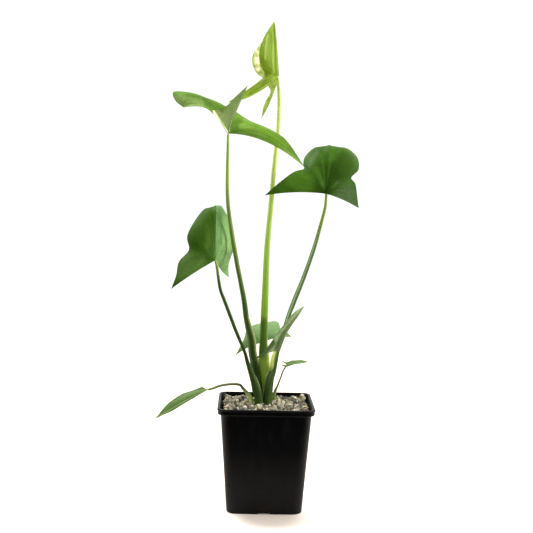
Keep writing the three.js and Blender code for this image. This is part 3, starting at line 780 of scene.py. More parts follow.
# Each stroke: its two ends (X, Z), half width and soft edge in mm, then its colour and strength.
# Painted shade in a crease, painted shade in a fold, and a painted highlight along a crease.
CREASE_SHADE, FOLD_SHADE, CREASE_HIGHLIGHT = (0.08, 0.15, 0.01), (0.14, 0.22, 0.02), (0.8, 0.9, 0.36)
STROKES = {
    # Tallest leaf: painted shade in folds and creases and along the dark lines from the stalk's end, and
    # painted highlights along a fold.
    "tall": (
        ((-3, 444.5), (-3.5, 417.5), 1.4, 1.5, (0.18, 0.29, 0.03), 0.5),
        ((0.5, 453.5), (3, 407), 0.6, 0.9, CREASE_SHADE, 0.9),
        ((-5.5, 442.5), (-8, 430.5), 0.3, 1, CREASE_HIGHLIGHT, 0.5),
        ((-8, 430.5), (-7.5, 419.5), 0.2, 0.8, CREASE_HIGHLIGHT, 0.4),
        ((-7.5, 436.5), (-10.5, 417.5), 0.3, 0.8, FOLD_SHADE, 0.5),
        ((2, 406.5), (-10, 419.5), 0.2, 0.5, CREASE_SHADE, 0.6),
        ((2, 406), (-11.5, 412), 0.2, 0.5, CREASE_SHADE, 0.7),
        ((1.5, 406), (-10.5, 397.5), 0.2, 0.5, CREASE_SHADE, 0.7),
        ((-1.5, 401.5), (-21.5, 387.5), 0.5, 0.9, CREASE_SHADE, 0.75),
        ((-2.5, 443.5), (-1.5, 411), 0.3, 0.7, FOLD_SHADE, 0.6),
    ),
    # Upper left leaf: a painted highlight on one edge, painted shade along the top edge and under it near
    # the stalk, painted sheen on the left, and painted light coming through the far lobe.
    "upper_left": (
        ((-53.5, 369), (-41.5, 353), 0.5, 1, (0.86, 1.0, 0.62), 1.0),
        ((-80, 388), (-64, 384.5), 1, 1.5, (0.12, 0.2, 0.035), 0.6),
        ((-64, 384.5), (-47.5, 377), 1.4, 2, (0.11, 0.19, 0.025), 0.7),
        ((-88.5, 383), (-68, 378.5), 3, 3.5, (0.34, 0.44, 0.16), 0.7),
        ((-62, 381), (-46, 371), 0.9, 3, (0.1, 0.2, 0.02), 0.7),
        ((-36, 355.5), (-31, 363), 2, 4.5, (0.1, 0.2, 0.015), 0.8),
        ((-28, 358.5), (-5.5, 350.5), 1.4, 3, (0.46, 0.72, 0.12), 0.4),
        ((-9.5, 357), (12, 339.5), 0.9, 3.5, (0.28, 0.5, 0.05), 0.7),
        ((12.5, 335), (27.5, 324.5), 0.9, 3, (0.4, 0.66, 0.13), 0.6),
        ((-24.5, 387), (-31.5, 378.5), 1.4, 3, (0.3, 0.4, 0.16), 0.6),
    ),
    # Right leaf: painted highlights on the left shoulder and by the notch, and painted shade on the parts
    # turned from the light.
    "right": (
        ((22, 310), (32, 305), 4.5, 7.5, (0.115, 0.28, 0.024), 0.85),
        ((71, 328.5), (66.5, 317), 5.5, 7.5, (0.034, 0.085, 0.006), 0.8),
        ((67.5, 299.5), (73.5, 290.5), 4.5, 5.5, (0.05, 0.12, 0.01), 0.8),
        ((39.5, 330), (56, 332), 3, 4.5, (0.085, 0.21, 0.02), 0.6),
    ),
    # Middle left leaf: the midrib and a vein, painted sheen on the right half, lighter patches on the left
    # lobe and beside the midrib, and painted shade on the left half.
    "middle_left": (
        ((-52, 281.5), (-51, 236), 0.2, 0.6, (0.14, 0.27, 0.05), 0.6),
        ((-81.5, 225), (-68, 231), 5.5, 7.5, (0.14, 0.27, 0.055), 0.8),
        ((-58.5, 264.5), (-57.5, 246), 1.4, 2, (0.1, 0.22, 0.025), 0.8),
        ((-45.5, 264.5), (-45, 247.5), 0.3, 0.8, (0.12, 0.27, 0.06), 0.5),
        ((-41, 270), (-38.5, 244), 2, 3.5, (0.4, 0.68, 0.24), 0.7),
        ((-64.5, 270.5), (-67.5, 241.5), 5.5, 5.5, (0.042, 0.115, 0.009), 0.5),
    ),
    # Inner leaf: a painted highlight along the near edge, painted shade on the far lobe, and a dark line.
    "inner": (
        ((30, 189.5), (14.5, 169.5), 0.7, 1.3, (0.9, 0.94, 0.78), 0.3),
        ((2.5, 157), (-12, 141.5), 3.5, 3.5, (0.06, 0.12, 0.02), 1.0),
        ((27, 188), (-2.5, 150.5), 0.3, 0.9, (0.14, 0.22, 0.06), 0.7),
    ),
    # Rear leaf: a darker patch on its left half.
    "rear": (
        ((-15.5, 158.5), (-13.5, 148), 3, 5.5, (0.14, 0.26, 0.07), 0.6),
    ),
}
# The half beyond the midrib where it is painted paler, with painted glare and light coming through on the
# tallest leaf and painted light from the side on the middle left one: its colour, the share of light it
# lets through, how even it is, how much its lobe has of it, and the line that it keeps to, if any.
PAINTED_LIGHT_HALVES = {
    "tall": ((1.0, 1.0, 0.8), 0.94, 0.6, 0.7, ((-15.5, 431), (-14, 415), 1, 2.5)),
    "middle_left": ((0.27, 0.5, 0.165), 0.16, 0.8, 0.85, None),
}
# Midrib radius in mm, shine, how far the skin swells between its veins, and the two colours of the ribs.
BLADE_TRAITS = {
    "tall": (0.6, 0.12, 1.0, (0.3, 0.42, 0.06), (0.18, 0.28, 0.03)),
    "upper_left": (0.6, 0.02, 1.0, (0.8, 0.84, 0.62), (0.56, 0.64, 0.34)),
    "right": (0.7, 0.03, 0.3, (0.36, 0.46, 0.18), (0.22, 0.34, 0.08)),
    "middle_left": (0.65, 0.02, 0.5, (0.36, 0.46, 0.18), (0.22, 0.34, 0.08)),
    "rear": (0.5, 0.12, 1.0, (0.5, 0.58, 0.34), (0.34, 0.46, 0.18)),
    "inner": (0.45, 0.12, 1.0, (0.5, 0.58, 0.34), (0.34, 0.46, 0.18)),
    "low_left": (0.4, 0.12, 1.0, (0.45, 0.52, 0.28), (0.28, 0.4, 0.12)),
    "small_right": (0.3, 0.12, 1.0, (0.45, 0.52, 0.28), (0.28, 0.4, 0.12)),
}

# %% Make the eight blades
UNDER_SKIN_SWELLS = -0.6  # the lower skin dips where the upper one swells, and less
BLADE_SEED, STALK_SEED = 20, 50

for number, (key, leaf) in enumerate(LEAVES.items()):
    midrib, shine, swelling, *rib_colours = BLADE_TRAITS[key]
    marks = (PAINTED_LIGHT_HALVES.get(key), STROKES.get(key, ()), shine)
    materials = []
    for skin_name, look, swells in zip(("upper", "under"), BLADE_LOOKS[key], (1.0, UNDER_SKIN_SWELLS)):
        materials.append(blade_finish(f"{key}_{skin_name}_skin", *look, swelling * swells, *marks))
    materials.append(rib_finish(f"{key}_ribs", *rib_colours))
    blade = make_blade(f"{key}_blade", leaf, materials, BLADE_SEED + number, midrib)
    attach(blade, "root")
    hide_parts(f"{key}_leaf_blade")
    print(blade.name, len(blade.data.polygons), "faces")

# %% [markdown]
# ## The shape of a stalk
#
# An arrowhead's stalk is a spongy column that swells into an open sheath at its base and thins
# towards the blade. It isn't round: low ridges run up it, and the sheath leaves a thin pale flap
# along one side. A curve with a bevel would give only a round tube, so the rings are made in code. The
# radius at each angle is the guide radius, raised a little by the ridges and a lot by the flap.
# A flap of no height makes a pale stripe, which on the right stalk is a painted highlight.

# %% Build a stalk
STALK_SIDES = 36
RING_STEP = 1.6  # mm between rings
RIDGE_HEIGHT, LOBE_HEIGHT, SWELLING = 0.030, 0.035, 0.012  # as shares of the radius
TWIST = 0.0035  # radians that the ridges turn in one mm
FLAP_BREADTH = 0.22  # radians, of the raised part of a flap


def make_stalk(name, leaf, material, ridges, flaps, seed):
    guide = leaf["stalk"]
    even = np.linspace(0, 1, 400)
    steps = np.linalg.norm(np.diff(curve_at(guide, even)[:, :3], axis=0), axis=1)
    travelled = np.concatenate([[0], np.cumsum(steps)])
    wanted = np.linspace(0, travelled[-1], max(12, int(travelled[-1] / RING_STEP)))
    rings = curve_at(guide, np.interp(wanted, travelled, even))
    path, radii = rings[:, :3], rings[:, 3].copy()
    rng = np.random.default_rng(seed)
    radii *= 1 + SWELLING * np.sin(wanted / 11 + rng.uniform(0, 6))
    radii[-1] *= 0.75
    angles = np.linspace(0, 2 * math.pi, STALK_SIDES, endpoint=False)
    drift = rng.uniform(0, 6) + wanted[:, None] * TWIST
    relief = np.cos(ridges * (angles[None] + drift)) * RIDGE_HEIGHT
    relief = relief + np.cos(3 * (angles[None] + drift * 0.6)) * LOBE_HEIGHT
    relief = relief * np.clip(radii / 4.0, 0.2, 1.0)[:, None]
    outward = radii[:, None] * (1 + relief)
    pale = np.zeros_like(outward)
    for angle, low, high, height, width in flaps:
        window = np.clip((path[:, 2] - low) / (high - low), 0, 1)
        window = np.sin(math.pi * window**1.6)
        turn_from = (angles - math.radians(angle) + math.pi) % (2 * math.pi) - math.pi
        ridge = np.exp(-((turn_from / FLAP_BREADTH) ** 2))
        outward += window[:, None] * ridge[None] * height
        wide = np.exp(-((turn_from / width) ** 2))
        pale = np.maximum(pale, np.minimum(1, window[:, None] * 1.6) * wide[None])
    points, faces = tube(path, outward, STALK_SIDES)
    piece = piece_from(name, points * MM, faces, [material])
    grain = np.stack([
        np.cos(angles)[None] * radii[:, None], np.sin(angles)[None] * radii[:, None],
        np.repeat(wanted[:, None] * 0.03, STALK_SIDES, axis=1),
    ], axis=2)
    add_attribute(piece.data, "grain", "FLOAT_VECTOR", grain)
    add_attribute(piece.data, "pale", "FLOAT", pale)
    add_attribute(piece.data, "crest", "FLOAT", relief / (RIDGE_HEIGHT + LOBE_HEIGHT))
    smooth(piece, 60)
    return piece

# %% [markdown]
# ## The finish of a stalk
#
# The skin is smooth, with fine fibres that run lengthwise. The colour changes from the crown upwards,
# the crests of the ridges are lighter than the valleys, and the sheath's flap is cream. The
# fibres use an attribute that is short round the stalk and long along it, so they follow every bend
# without a seam. The tallest stalk has two strokes as well: a painted shadow where the inner leaf
# shades it and a painted patch of light below it, and both cut the light let through.

# %% Stalk finishes
def stalk_finish(name, low_colour, middle_colour, high_colour, heights, cream, glow, glow_share, strokes):
    """Colours from the crown up, where they change, the flap, the light let through, and painted shadow and
    light.
    """
    bark = Finish(name)
    grain = bark.attribute("grain", "Vector")
    fibres = bark.noise(0.55, 4.0, grain).ramp(0.3, 0.7)
    broad = bark.noise(2.6, 2.0, grain).ramp(0.35, 0.65)
    height = bark.place.part("Z")
    colour = bark.mix(height.ramp(heights[0], heights[1]), low_colour, middle_colour)
    colour = bark.mix(height.ramp(heights[1], heights[2]), colour, high_colour)
    for *line, stroke_colour, strength in strokes:
        along = stroke(bark, *line, inside=strength)
        colour = bark.mix(along, colour, stroke_colour)
        glow_share = glow_share * (1 - along)
    light = 0.90 + fibres * 0.10 + broad * 0.08 + bark.attribute("crest") * 0.05
    colour = bark.mix(bark.attribute("pale"), bark.tint(colour, light), cream)
    normal = bark.bump(fibres * 0.6 + bark.noise(0.25, 3.0, grain) * 0.4, 0.00004)
    skin = bark.solid(colour, 0.36 + fibres * 0.1, normal, 0.18)
    return bark.surface(bark.blend(glow_share, skin, bark.thin(glow)))


# Colours from the crown up, the heights in metres where they change, the sheath's cream, and the colour
# and share of the light let through. The near-white top of the tallest stalk and the near-white inner
# stalk are painted glare of the back light, and the right stalk's cream also colours its painted highlight
# stripe.
DULL_GLOW = (0.7, 0.9, 0.3)
STALK_LOOKS = {
    "tall": ((0.23, 0.33, 0.055), (0.28, 0.52, 0.052), (0.92, 0.98, 0.44), (0.11, 0.17, 0.36),
             (0.62, 0.72, 0.3), (0.8, 0.96, 0.3), 0.34),
    "upper_left": ((0.026, 0.055, 0.008), (0.055, 0.12, 0.016), (0.58, 0.84, 0.2), (0.1, 0.16, 0.38),
                   (0.92, 1.0, 0.42), (0.95, 1.0, 0.5), 0.06),
    "right": ((0.055, 0.1, 0.017), (0.11, 0.2, 0.045), (0.42, 0.58, 0.12), (0.11, 0.24, 0.285),
              (0.74, 1.0, 0.5), (0.86, 0.98, 0.6), 0.03),
    "middle_left": ((0.045, 0.09, 0.015), (0.062, 0.13, 0.022), (0.5, 0.64, 0.14), (0.1, 0.21, 0.238),
                    (0.4, 0.52, 0.24), DULL_GLOW, 0.05),
    "rear": ((0.2, 0.32, 0.07), (0.24, 0.36, 0.1), (0.28, 0.4, 0.14), (0.1, 0.12, 0.15),
             (0.6, 0.68, 0.4), DULL_GLOW, 0.1),
    "inner": ((0.8, 0.95, 0.3), (0.98, 1.0, 0.55), (0.6, 0.72, 0.34), (0.1, 0.12, 0.15),
              (0.98, 1.0, 0.6), (0.98, 1.0, 0.5), 0.8),
    "low_left": ((0.85, 1.0, 0.36), (0.2, 0.24, 0.1), (0.1, 0.14, 0.05), (0.102, 0.114, 0.119),
                 (0.85, 0.9, 0.45), DULL_GLOW, 0.1),
    "small_right": ((0.2, 0.28, 0.07), (0.2, 0.28, 0.08), (0.26, 0.32, 0.14), (0.1, 0.115, 0.135),
                    (0.55, 0.6, 0.34), DULL_GLOW, 0.05),
}
# Each flap or pale stripe: its angle round the stalk in degrees, its lowest and highest point and how far
# it stands out in mm, and its breadth in radians.
FLAPS = {
    "tall": [(-8, 112, 160, 1.0, 0.3)],
    "upper_left": [(-30, 122, 184, 1.5, 0.3)],
    # The right stalk's second entry, of no height, is a painted highlight stripe.
    "right": [(170, 100, 140, 1.0, 0.25), (250, 105, 270, 0.0, 0.34)],
    "middle_left": [(10, 100, 126, 0.8, 0.2)],
    "low_left": [(90, 95, 112, 0.6, 0.3)],
}
# Painted light and shade on the tallest stalk: a painted shadow where the inner leaf shades it, and a
# painted patch of light below it.
STALK_PAINTED_LIGHT = {
    "tall": (
        ((-5, 170.5), (-4.5, 148.5), 3.5, 9, (0.07, 0.14, 0.012), 0.75),
        ((0, 136), (0, 124.5), 1.2, 2.2, (0.5, 0.7, 0.12), 0.8),
    ),
}
RIDGES = {"tall": 7, "upper_left": 6, "right": 6, "middle_left": 5}

# %% Make the eight stalks
for number, (key, leaf) in enumerate(LEAVES.items()):
    material = stalk_finish(f"{key}_stalk_skin", *STALK_LOOKS[key], STALK_PAINTED_LIGHT.get(key, ()))
    ridges, flaps = RIDGES.get(key, 4), FLAPS.get(key, [])
    stalk = make_stalk(f"{key}_stalk", leaf, material, ridges, flaps, STALK_SEED + number)
    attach(stalk, "root")
    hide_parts(f"{key}_leaf_stalk")
    print(stalk.name, len(stalk.data.polygons), "faces")

# %% [markdown]
# ## The pot
#
# A nursery pot is thin black polypropylene, blown or moulded in one shot: four walls that lean out
# a little so that pots nest, rounded corners, and a stiff turned rim. One profile describes it, from the
# foot up the outside, over the rim and down the inside to the floor. Each entry of the profile is
# a height, a half width and a corner radius, and small steps at its turns make the soft edges of
# a moulding. The drain notches and holes are then cut with a boolean.

# %% Pot sizes and profile
# Half widths at the foot, under the rim, of the rim's band and of its rolled edge, then heights, in mm.
FOOT, SHOULDER, BAND, RIM = 35.0, 42.0, 44.5, 45.0
SKIRT, TOP = 93.4, 99.0
WALL = 1.6
CORNER_FACES = 10
SIDE_FACES = 12
CORNER_SIGNS = ((1, 1), (-1, 1), (-1, -1), (1, -1))


def body_half(z):
    return FOOT + (SHOULDER - FOOT) * z / SKIRT


def square_ring(half, corner, z):
    """A rounded square, anticlockwise from the +X side of the first corner."""
    def on_corner(quarter, share):
        angle = math.pi / 2 * (quarter + share)
        sx, sy = (sign * (half - corner) for sign in CORNER_SIGNS[quarter % 4])
        return np.array((sx + corner * math.cos(angle), sy + corner * math.sin(angle), z))

    points = []
    for quarter in range(4):
        points += [on_corner(quarter, k / CORNER_FACES) for k in range(CORNER_FACES + 1)]
        start, end = points[-1], on_corner(quarter + 1, 0)
        points += [start + (end - start) * k / SIDE_FACES for k in range(1, SIDE_FACES)]
    return points


def rounded_step(start, turn_at, end, steps):
    """Profile entries that cut a corner with a soft curve."""
    shares = np.linspace(0, 1, steps + 1)[:, None]
    start, turn_at, end = (np.asarray(entry, float) for entry in (start, turn_at, end))
    return list((1 - shares) ** 2 * start + 2 * shares * (1 - shares) * turn_at + shares**2 * end)


profile = rounded_step((0, FOOT - 1.3, 7.8), (0, FOOT, 9), (1.3, body_half(1.3), 9), 4)
profile += [(z, body_half(z), 9) for z in np.linspace(8, 84, 10)]
profile += rounded_step((92.4, body_half(92.4), 9), (SKIRT, SHOULDER, 9), (SKIRT, SHOULDER + 0.8, 8.6), 3)
profile += rounded_step((SKIRT, BAND - 0.9, 8), (SKIRT, BAND, 8), (SKIRT + 0.9, BAND, 8), 3)
profile += [(TOP - 1.9, BAND + 0.1, 8), (TOP - 1.5, RIM, 8)]
profile += rounded_step((TOP - 0.9, RIM + 0.1, 8), (TOP, RIM, 8), (TOP, RIM - 1.0, 7.4), 4)
profile += rounded_step((TOP, 43.6, 7.4), (TOP, 42.8, 7.4), (TOP - 0.9, 42.6, 7.4), 3)
profile += [(TOP - 3, 42.2, 7.4)]
profile += rounded_step((SKIRT + 0.6, 41.6, 7.4), (SKIRT - 0.4, 40.5, 7.4), (SKIRT - 3, 40.15, 7.4), 3)
profile += [(45, body_half(45) - WALL, 7.4)]
profile += rounded_step((4, body_half(4) - WALL, 7.4), (WALL, body_half(2) - WALL, 7.4),
                        (WALL, body_half(2) - WALL - 2.4, 5.2), 3)

# %% Cut the foot and finish the pot's mesh
rings = [square_ring(half, corner, z) for z, half, corner in profile]
per_ring = len(rings[0])
pot_points = np.array(rings).reshape(-1, 3) * MM
pot_solid = piece_from("pot_wall", pot_points, tube_faces(len(rings), per_ring), [])

NOTCH_SIZES = (14, 13, 7.2)  # through the wall, along it, and up: half of the block is above the floor
HOLE_RADIUS, HOLE_PLACE = 4, 16
cutter_mesh = bmesh.new()


def as_notch(x, y, z):
    depth, width, height = NOTCH_SIZES
    narrowing = 1 - 0.10 * (z > 0)
    return FOOT + x * depth, y * width * narrowing, z * height


def as_hole(x, y, z):
    return x + HOLE_PLACE, y + HOLE_PLACE, z


hole = {"cap_ends": True, "segments": 32, "radius1": HOLE_RADIUS, "radius2": HOLE_RADIUS, "depth": 6}
for angle in map(math.radians, (0, 90, 180, 270)):
    cos_turn, sin_turn = math.cos(angle), math.sin(angle)
    notch_points = bmesh.ops.create_cube(cutter_mesh, size=1)["verts"]
    hole_points = bmesh.ops.create_cone(cutter_mesh, **hole)["verts"]
    for vertices, shape in ((notch_points, as_notch), (hole_points, as_hole)):
        for vertex in vertices:
            x, y, z = shape(*vertex.co)
            vertex.co = Vector((x * cos_turn - y * sin_turn, x * sin_turn + y * cos_turn, z)) * MM
cutter_data = bpy.data.meshes.new("drain_cutter")
cutter_mesh.to_mesh(cutter_data)
cutter_mesh.free()
cutter = add_object("drain_cutter", cutter_data)


def bake_modifiers(source, name, materials):
    """A plain mesh object with the source's modifiers applied. The source is removed."""
    seen_now = source.evaluated_get(bpy.context.evaluated_depsgraph_get())
    mesh = bpy.data.meshes.new_from_object(seen_now)
    mesh.name = name
    bpy.data.objects.remove(source)
    mesh.materials.clear()
    for material in materials:
        mesh.materials.append(material)
    return add_object(name, mesh)


cut = pot_solid.modifiers.new("drains", "BOOLEAN")
cut.operation = "DIFFERENCE"
cut.object = cutter
cut.solver = "EXACT"

# %% [markdown]
# ## The finish of the pot
#
# Black polypropylene is a very dark grey with a satin shine. What makes it look real is what has
# happened to it: a film of dried water and dust that is thickest low on the walls, faint scuffs, and
# the slight orange peel of the mould that breaks up each reflection. The lighter lower walls are partly
# that dust and partly a painted reflection of the bright floor.

# %% Pot finish
plastic = Finish("black_polypropylene")
height = plastic.place.part("Z")
# Lighter towards the foot: dust, and a painted reflection of the bright floor.
dust_and_reflection = height.ramp(0.0, 0.075, 1.0, 0.12) * plastic.noise(0.02, 4.0).ramp(0.25, 0.75, 0.55, 1.0)
smears = plastic.noise(0.006, 5.0, stretch=(1, 1, 0.25)).ramp(0.5, 0.75)
scuffs = plastic.noise(0.0025, 2.0, stretch=(0.25, 0.25, 1)).ramp(0.62, 0.70)
plastic_colour = plastic.mix(dust_and_reflection * 0.7, (0.0018, 0.0018, 0.0022), (0.009, 0.009, 0.0088))
plastic_colour = plastic.mix(smears * 0.08 + scuffs * 0.05, plastic_colour, (0.03, 0.029, 0.026))
peel = plastic.noise(0.0013, 2.0) * 0.6 + plastic.noise(0.006, 2.0) * 0.4
gloss = 0.34 + dust_and_reflection * 0.12 + smears * 0.1
plastic_shader = plastic.solid(plastic_colour, gloss, plastic.bump(peel, 0.00006), 0.10)
pot = bake_modifiers(pot_solid, "nursery_pot", [plastic.surface(plastic_shader)])
bpy.data.objects.remove(cutter)
smooth(pot, 42)
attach(pot, "root")
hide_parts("pot")
print("pot", len(pot.data.polygons), "faces")

# %% [markdown]
# ## The soil
#
# Under the grit the pot is full of dark potting soil. Only its underside shows, through the drain
# holes, so the CAD solid's own shape is enough. It gets a crumbly finish of peat and bark.

# %% Soil finish
soil = Finish("potting_soil")
crumbs = soil.node("ShaderNodeTexVoronoi", {"Vector": soil.place, "Scale": 450.0}, out="Distance")
fibre = soil.noise(0.002, 4.0).ramp(0.3, 0.7)
soil_colour = soil.mix(fibre, (0.012, 0.008, 0.005), (0.06, 0.038, 0.022))
soil_colour = soil.mix(crumbs.ramp(0.3, 0.8), soil_colour, (0.02, 0.013, 0.008))
soil_shader = soil.solid(soil_colour, 0.85 + fibre * 0.12, soil.bump(crumbs + fibre, 0.0008), 0.2)
soil_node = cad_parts["potting_soil"]
soil_node.data.materials.clear()
soil_node.data.materials.append(soil.surface(soil_shader))

# %% [markdown]
# ## The grit
#
# Aquatic grit is crushed stone: sharp chips from two to eight millimetres, of cream limestone,
# grey slate and a few rusty ones. Placing hundreds by hand is out of the question, and a bump on a
# flat top would look like a carpet. Geometry Nodes do it: the tree makes a few chips, each the convex
# hull of a dozen random points, scatters them in three sizes over a bed, turns them at random and
# gives each a number that its colour is chosen by.

# %% Bed under the stones
BED_LOW, BED_TOP, BED_HALF = 82.3, 93.9, 39.9
BED_CELLS = 44


def bed_height(x, y):
    """Low rolling ground in mm, a little higher round the crown."""
    rolling = 0.7 * math.sin(x / 9 + 1.3) * math.cos(y / 8) + 0.4 * math.sin(x / 4.1 + y / 5.3)
    mound = 0.8 * math.exp(-((x + 2) ** 2 + (y - 1) ** 2) / 400)
    return BED_TOP + rolling + 0.9 * max(0.0, -y / 40) ** 2 + mound


grid = np.linspace(-BED_HALF, BED_HALF, BED_CELLS + 1)
bed_points, bed_faces = [], []
for y in grid:
    for x in grid:
        corner_pull = max(0.0, math.hypot(max(abs(x) - 32.2, 0), max(abs(y) - 32.2, 0)) - 7.2)
        px = x - math.copysign(corner_pull * 0.8, x) if corner_pull else x
        py = y - math.copysign(corner_pull * 0.8, y) if corner_pull else y
        bed_points.append((px, py, bed_height(px, py)))
low_start = len(bed_points)
index = np.arange(low_start).reshape(BED_CELLS + 1, BED_CELLS + 1)
corners = (index[:-1, :-1], index[:-1, 1:], index[1:, 1:], index[1:, :-1])
bed_faces += zip(*(corner.ravel().tolist() for corner in corners))
border = np.concatenate([index[0], index[1:, -1], index[-1, -2::-1], index[-2:0:-1, 0]]).tolist()
for corner in border:
    x, y, _ = bed_points[corner]
    bed_points.append((x * 0.985, y * 0.985, BED_LOW))
for k, corner in enumerate(border):
    following = (k + 1) % len(border)
    bed_faces.append((corner, low_start + k, low_start + following, border[following]))
bed_faces.append(tuple(low_start + k for k in reversed(range(len(border)))))

fines = Finish("grit_fines")
dark_gaps = fines.noise(0.0012, 4.0).ramp(0.3, 0.7)
fines_colour = fines.mix(dark_gaps, (0.02, 0.018, 0.014), (0.12, 0.105, 0.08))
fines_shader = fines.solid(fines_colour, 0.9 + dark_gaps * 0.05, fines.bump(dark_gaps, 0.0006))
bed = piece_from("grit_bed", np.array(bed_points) * MM, bed_faces, [fines.surface(fines_shader)])
smooth(bed, 50)

# %% Stone finish
stone = Finish("crushed_stone")
STONE_COLOURS = [
    (0.00, (0.80, 0.72, 0.50)), (0.18, (0.64, 0.56, 0.36)), (0.34, (0.50, 0.45, 0.31)),
    (0.48, (0.33, 0.315, 0.24)), (0.62, (0.20, 0.20, 0.165)), (0.76, (0.10, 0.105, 0.095)),
    (0.88, (0.042, 0.044, 0.046)), (0.95, (0.25, 0.17, 0.10)), (1.00, (0.82, 0.76, 0.58)),
]
grain = stone.noise(0.0009, 4.0).ramp(0.3, 0.7, 0.72, 1.22)
bands = stone.noise(0.0035, 3.0).ramp(0.35, 0.65)
tint = stone.attribute("stone_tint") + bands * 0.05 - 0.025
stone_colour = stone.node("ShaderNodeValToRGB", {"Fac": tint})
stops = stone_colour.socket.node.color_ramp.elements
while len(stops) < len(STONE_COLOURS):
    stops.new(1.0)
for stop, (place, colour) in zip(stops, STONE_COLOURS):
    stop.position = place
    stop.color = (*colour, 1.0)
stone_colour = stone.tint(stone_colour, grain * (0.62 + stone.attribute("stone_shade") * 0.5))
normal = stone.bump(stone.noise(0.0007, 4.0) + bands, 0.0003)
stone_material = stone.surface(stone.solid(stone_colour, 0.72 + bands * 0.15, normal, 0.3))

# %% The tree that makes and scatters the stones
group = bpy.data.node_groups.new("scattered_grit", "GeometryNodeTree")
group.interface.new_socket("Geometry", in_out="OUTPUT", socket_type="NodeSocketGeometry")
group.interface.new_socket("Ground", in_out="INPUT", socket_type="NodeSocketGeometry")
GRIT_INPUTS = {
    "Largest Stone": ("NodeSocketFloat", 0.0043), "Middle Stone": ("NodeSocketFloat", 0.0029),
    "Smallest Stone": ("NodeSocketFloat", 0.0019), "Flatness": ("NodeSocketFloat", 0.68),
    "Seed": ("NodeSocketInt", 8), "Finish": ("NodeSocketMaterial", stone_material),
}
for input_name, (socket_type, _) in GRIT_INPUTS.items():
    group.interface.new_socket(input_name, in_out="INPUT", socket_type=socket_type)
nodes = Tree(group)
add = nodes.node
inlet = add("NodeGroupInput")


def given(name):
    return Wire(nodes, inlet.socket.node.outputs[name])


# Where a Random Value node keeps its lowest, its highest and its result, for each kind of value.
RANDOM_SOCKETS = {"FLOAT_VECTOR": (0, 1, 0), "FLOAT": (2, 3, 1), "INT": (4, 5, 2)}


def random_value(low, high, salt, kind="FLOAT"):
    """A random value for each point or stone. Each salt makes a series of its own."""
    low_socket, high_socket, out = RANDOM_SOCKETS[kind]
    sockets = {low_socket: low, high_socket: high, "Seed": given("Seed") + salt}
    return add("FunctionNodeRandomValue", sockets, {"data_type": kind}, out)


CHIP_KINDS, CHIP_POINTS, CHIP_BREADTH = 9, 12, 0.82
chips = []
for kind in range(CHIP_KINDS):
    spot = random_value((-1, -1, -1), (1, 1, 1), 100 + kind, "FLOAT_VECTOR")
    spot = add("ShaderNodeVectorMath", {0: spot}, {"operation": "NORMALIZE"})
    squash = add("ShaderNodeCombineXYZ", {0: 1.0, 1: CHIP_BREADTH, 2: given("Flatness")})
    spot = add("ShaderNodeVectorMath", {0: spot, 1: squash}, {"operation": "MULTIPLY"})
    dots = add("GeometryNodePoints", {"Count": CHIP_POINTS, "Position": spot})
    hull = add("GeometryNodeConvexHull", {"Geometry": dots})
    chips.append(add("GeometryNodeGeometryToInstance", {"Geometry": hull}))
chip_set = add("GeometryNodeJoinGeometry", {"Geometry": chips})

CROWN_RADIUS, INSIDE_WALL = 0.0085, 0.0385
up_only = add("GeometryNodeInputNormal").part("Z") > 0.5
position = add("GeometryNodeInputPosition")
x, y = position.part("X"), position.part("Y")
clear_of_crown = ((x + 0.002) ** 2 + (y - 0.0005) ** 2) ** 0.5 > CROWN_RADIUS
inside_wall = (x.sum("ABSOLUTE") < INSIDE_WALL) * (y.sum("ABSOLUTE") < INSIDE_WALL)
sockets = {"Geometry": given("Ground"), "Selection": up_only * clear_of_crown * inside_wall}
ground = add("GeometryNodeSeparateGeometry", sockets, {"domain": "FACE"})

# Each layer of stones: its size, the spacing and the lift as shares of that size.
STONE_LAYERS = (("Largest Stone", 1.75, 0.10), ("Middle Stone", 1.55, 0.25), ("Smallest Stone", 1.5, 0.55))
DENSEST = 400000.0  # stones per square metre, more than the spacing lets through
ANY_WAY = 3.1  # radians, nearly half a turn to either side

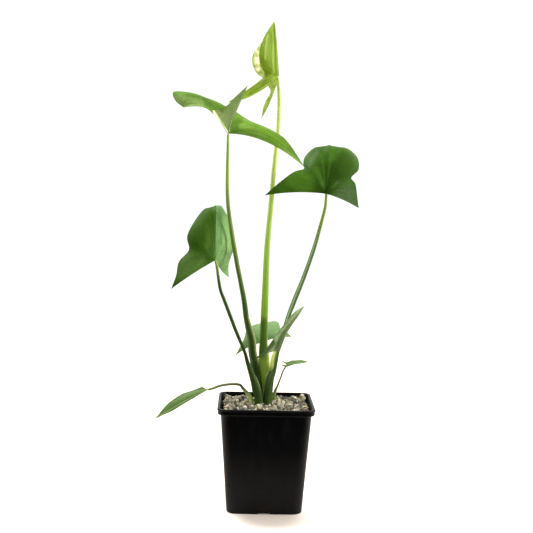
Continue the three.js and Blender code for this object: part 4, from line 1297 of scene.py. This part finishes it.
layers = []
for layer, (size_name, spacing, lift) in enumerate(STONE_LAYERS):
    size = given(size_name)
    sockets = {"Mesh": ground, "Distance Min": size * spacing, "Density Max": DENSEST,
               "Seed": given("Seed") + layer}
    spots = add("GeometryNodeDistributePointsOnFaces", sockets, {"distribute_method": "POISSON"})
    rise = random_value(-0.35, 0.5, 30 + layer) * size + size * lift
    offset = add("ShaderNodeCombineXYZ", {2: rise})
    spots = add("GeometryNodeSetPosition", {"Geometry": spots, "Offset": offset})
    turned = random_value((-ANY_WAY,) * 3, (ANY_WAY,) * 3, 40 + layer, "FLOAT_VECTOR")
    placed = add("GeometryNodeInstanceOnPoints", {
        "Points": spots, "Instance": chip_set, "Pick Instance": True,
        "Instance Index": random_value(0, CHIP_KINDS - 1, 50 + layer, "INT"),
        "Rotation": add("FunctionNodeEulerToRotation", {0: turned}),
        "Scale": random_value(0.72, 1.15, 60 + layer) * size,
    })
    for salt, attribute in ((70, "stone_tint"), (80, "stone_shade")):
        sockets = {"Geometry": placed, "Name": attribute, "Value": random_value(0.0, 1.0, salt + layer)}
        settings = {"data_type": "FLOAT", "domain": "INSTANCE"}
        placed = add("GeometryNodeStoreNamedAttribute", sockets, settings)
    layers.append(placed)
all_stones = add("GeometryNodeJoinGeometry", {"Geometry": layers})
real_stones = add("GeometryNodeRealizeInstances", {"Geometry": all_stones})
finished = add("GeometryNodeSetMaterial", {"Geometry": real_stones, "Material": given("Finish")})
add("NodeGroupOutput", {"Geometry": finished})

# %% Scatter the stones
ground_copy = add_object("grit_ground", bed.data.copy())
scatter = ground_copy.modifiers.new("scatter", "NODES")
scatter.node_group = group
for item in group.interface.items_tree:
    if item.in_out == "INPUT" and item.name in GRIT_INPUTS:
        scatter[item.identifier] = GRIT_INPUTS[item.name][1]
stones = bake_modifiers(ground_copy, "grit_stones", [stone_material])
heights_of_stones = [vertex.co.z for vertex in stones.data.vertices]
print("stones:", len(stones.data.polygons), "faces, top at", round(max(heights_of_stones) * 1000, 1), "mm")
for piece in (bed, stones):
    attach(piece, "root")
    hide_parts("grit_top_dressing")

# %% [markdown]
# ## Finish
#
# The finished plant should be the size of the CAD model.

# %% Sizes and finish
visual_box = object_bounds()


def as_lists(box):
    return [[float(number) for number in corner] for corner in box]


for label, box in (("CAD", cad_box), ("visual", visual_box)):
    print(label, [[round(number * 1000, 1) for number in corner] for corner in as_lists(box)])
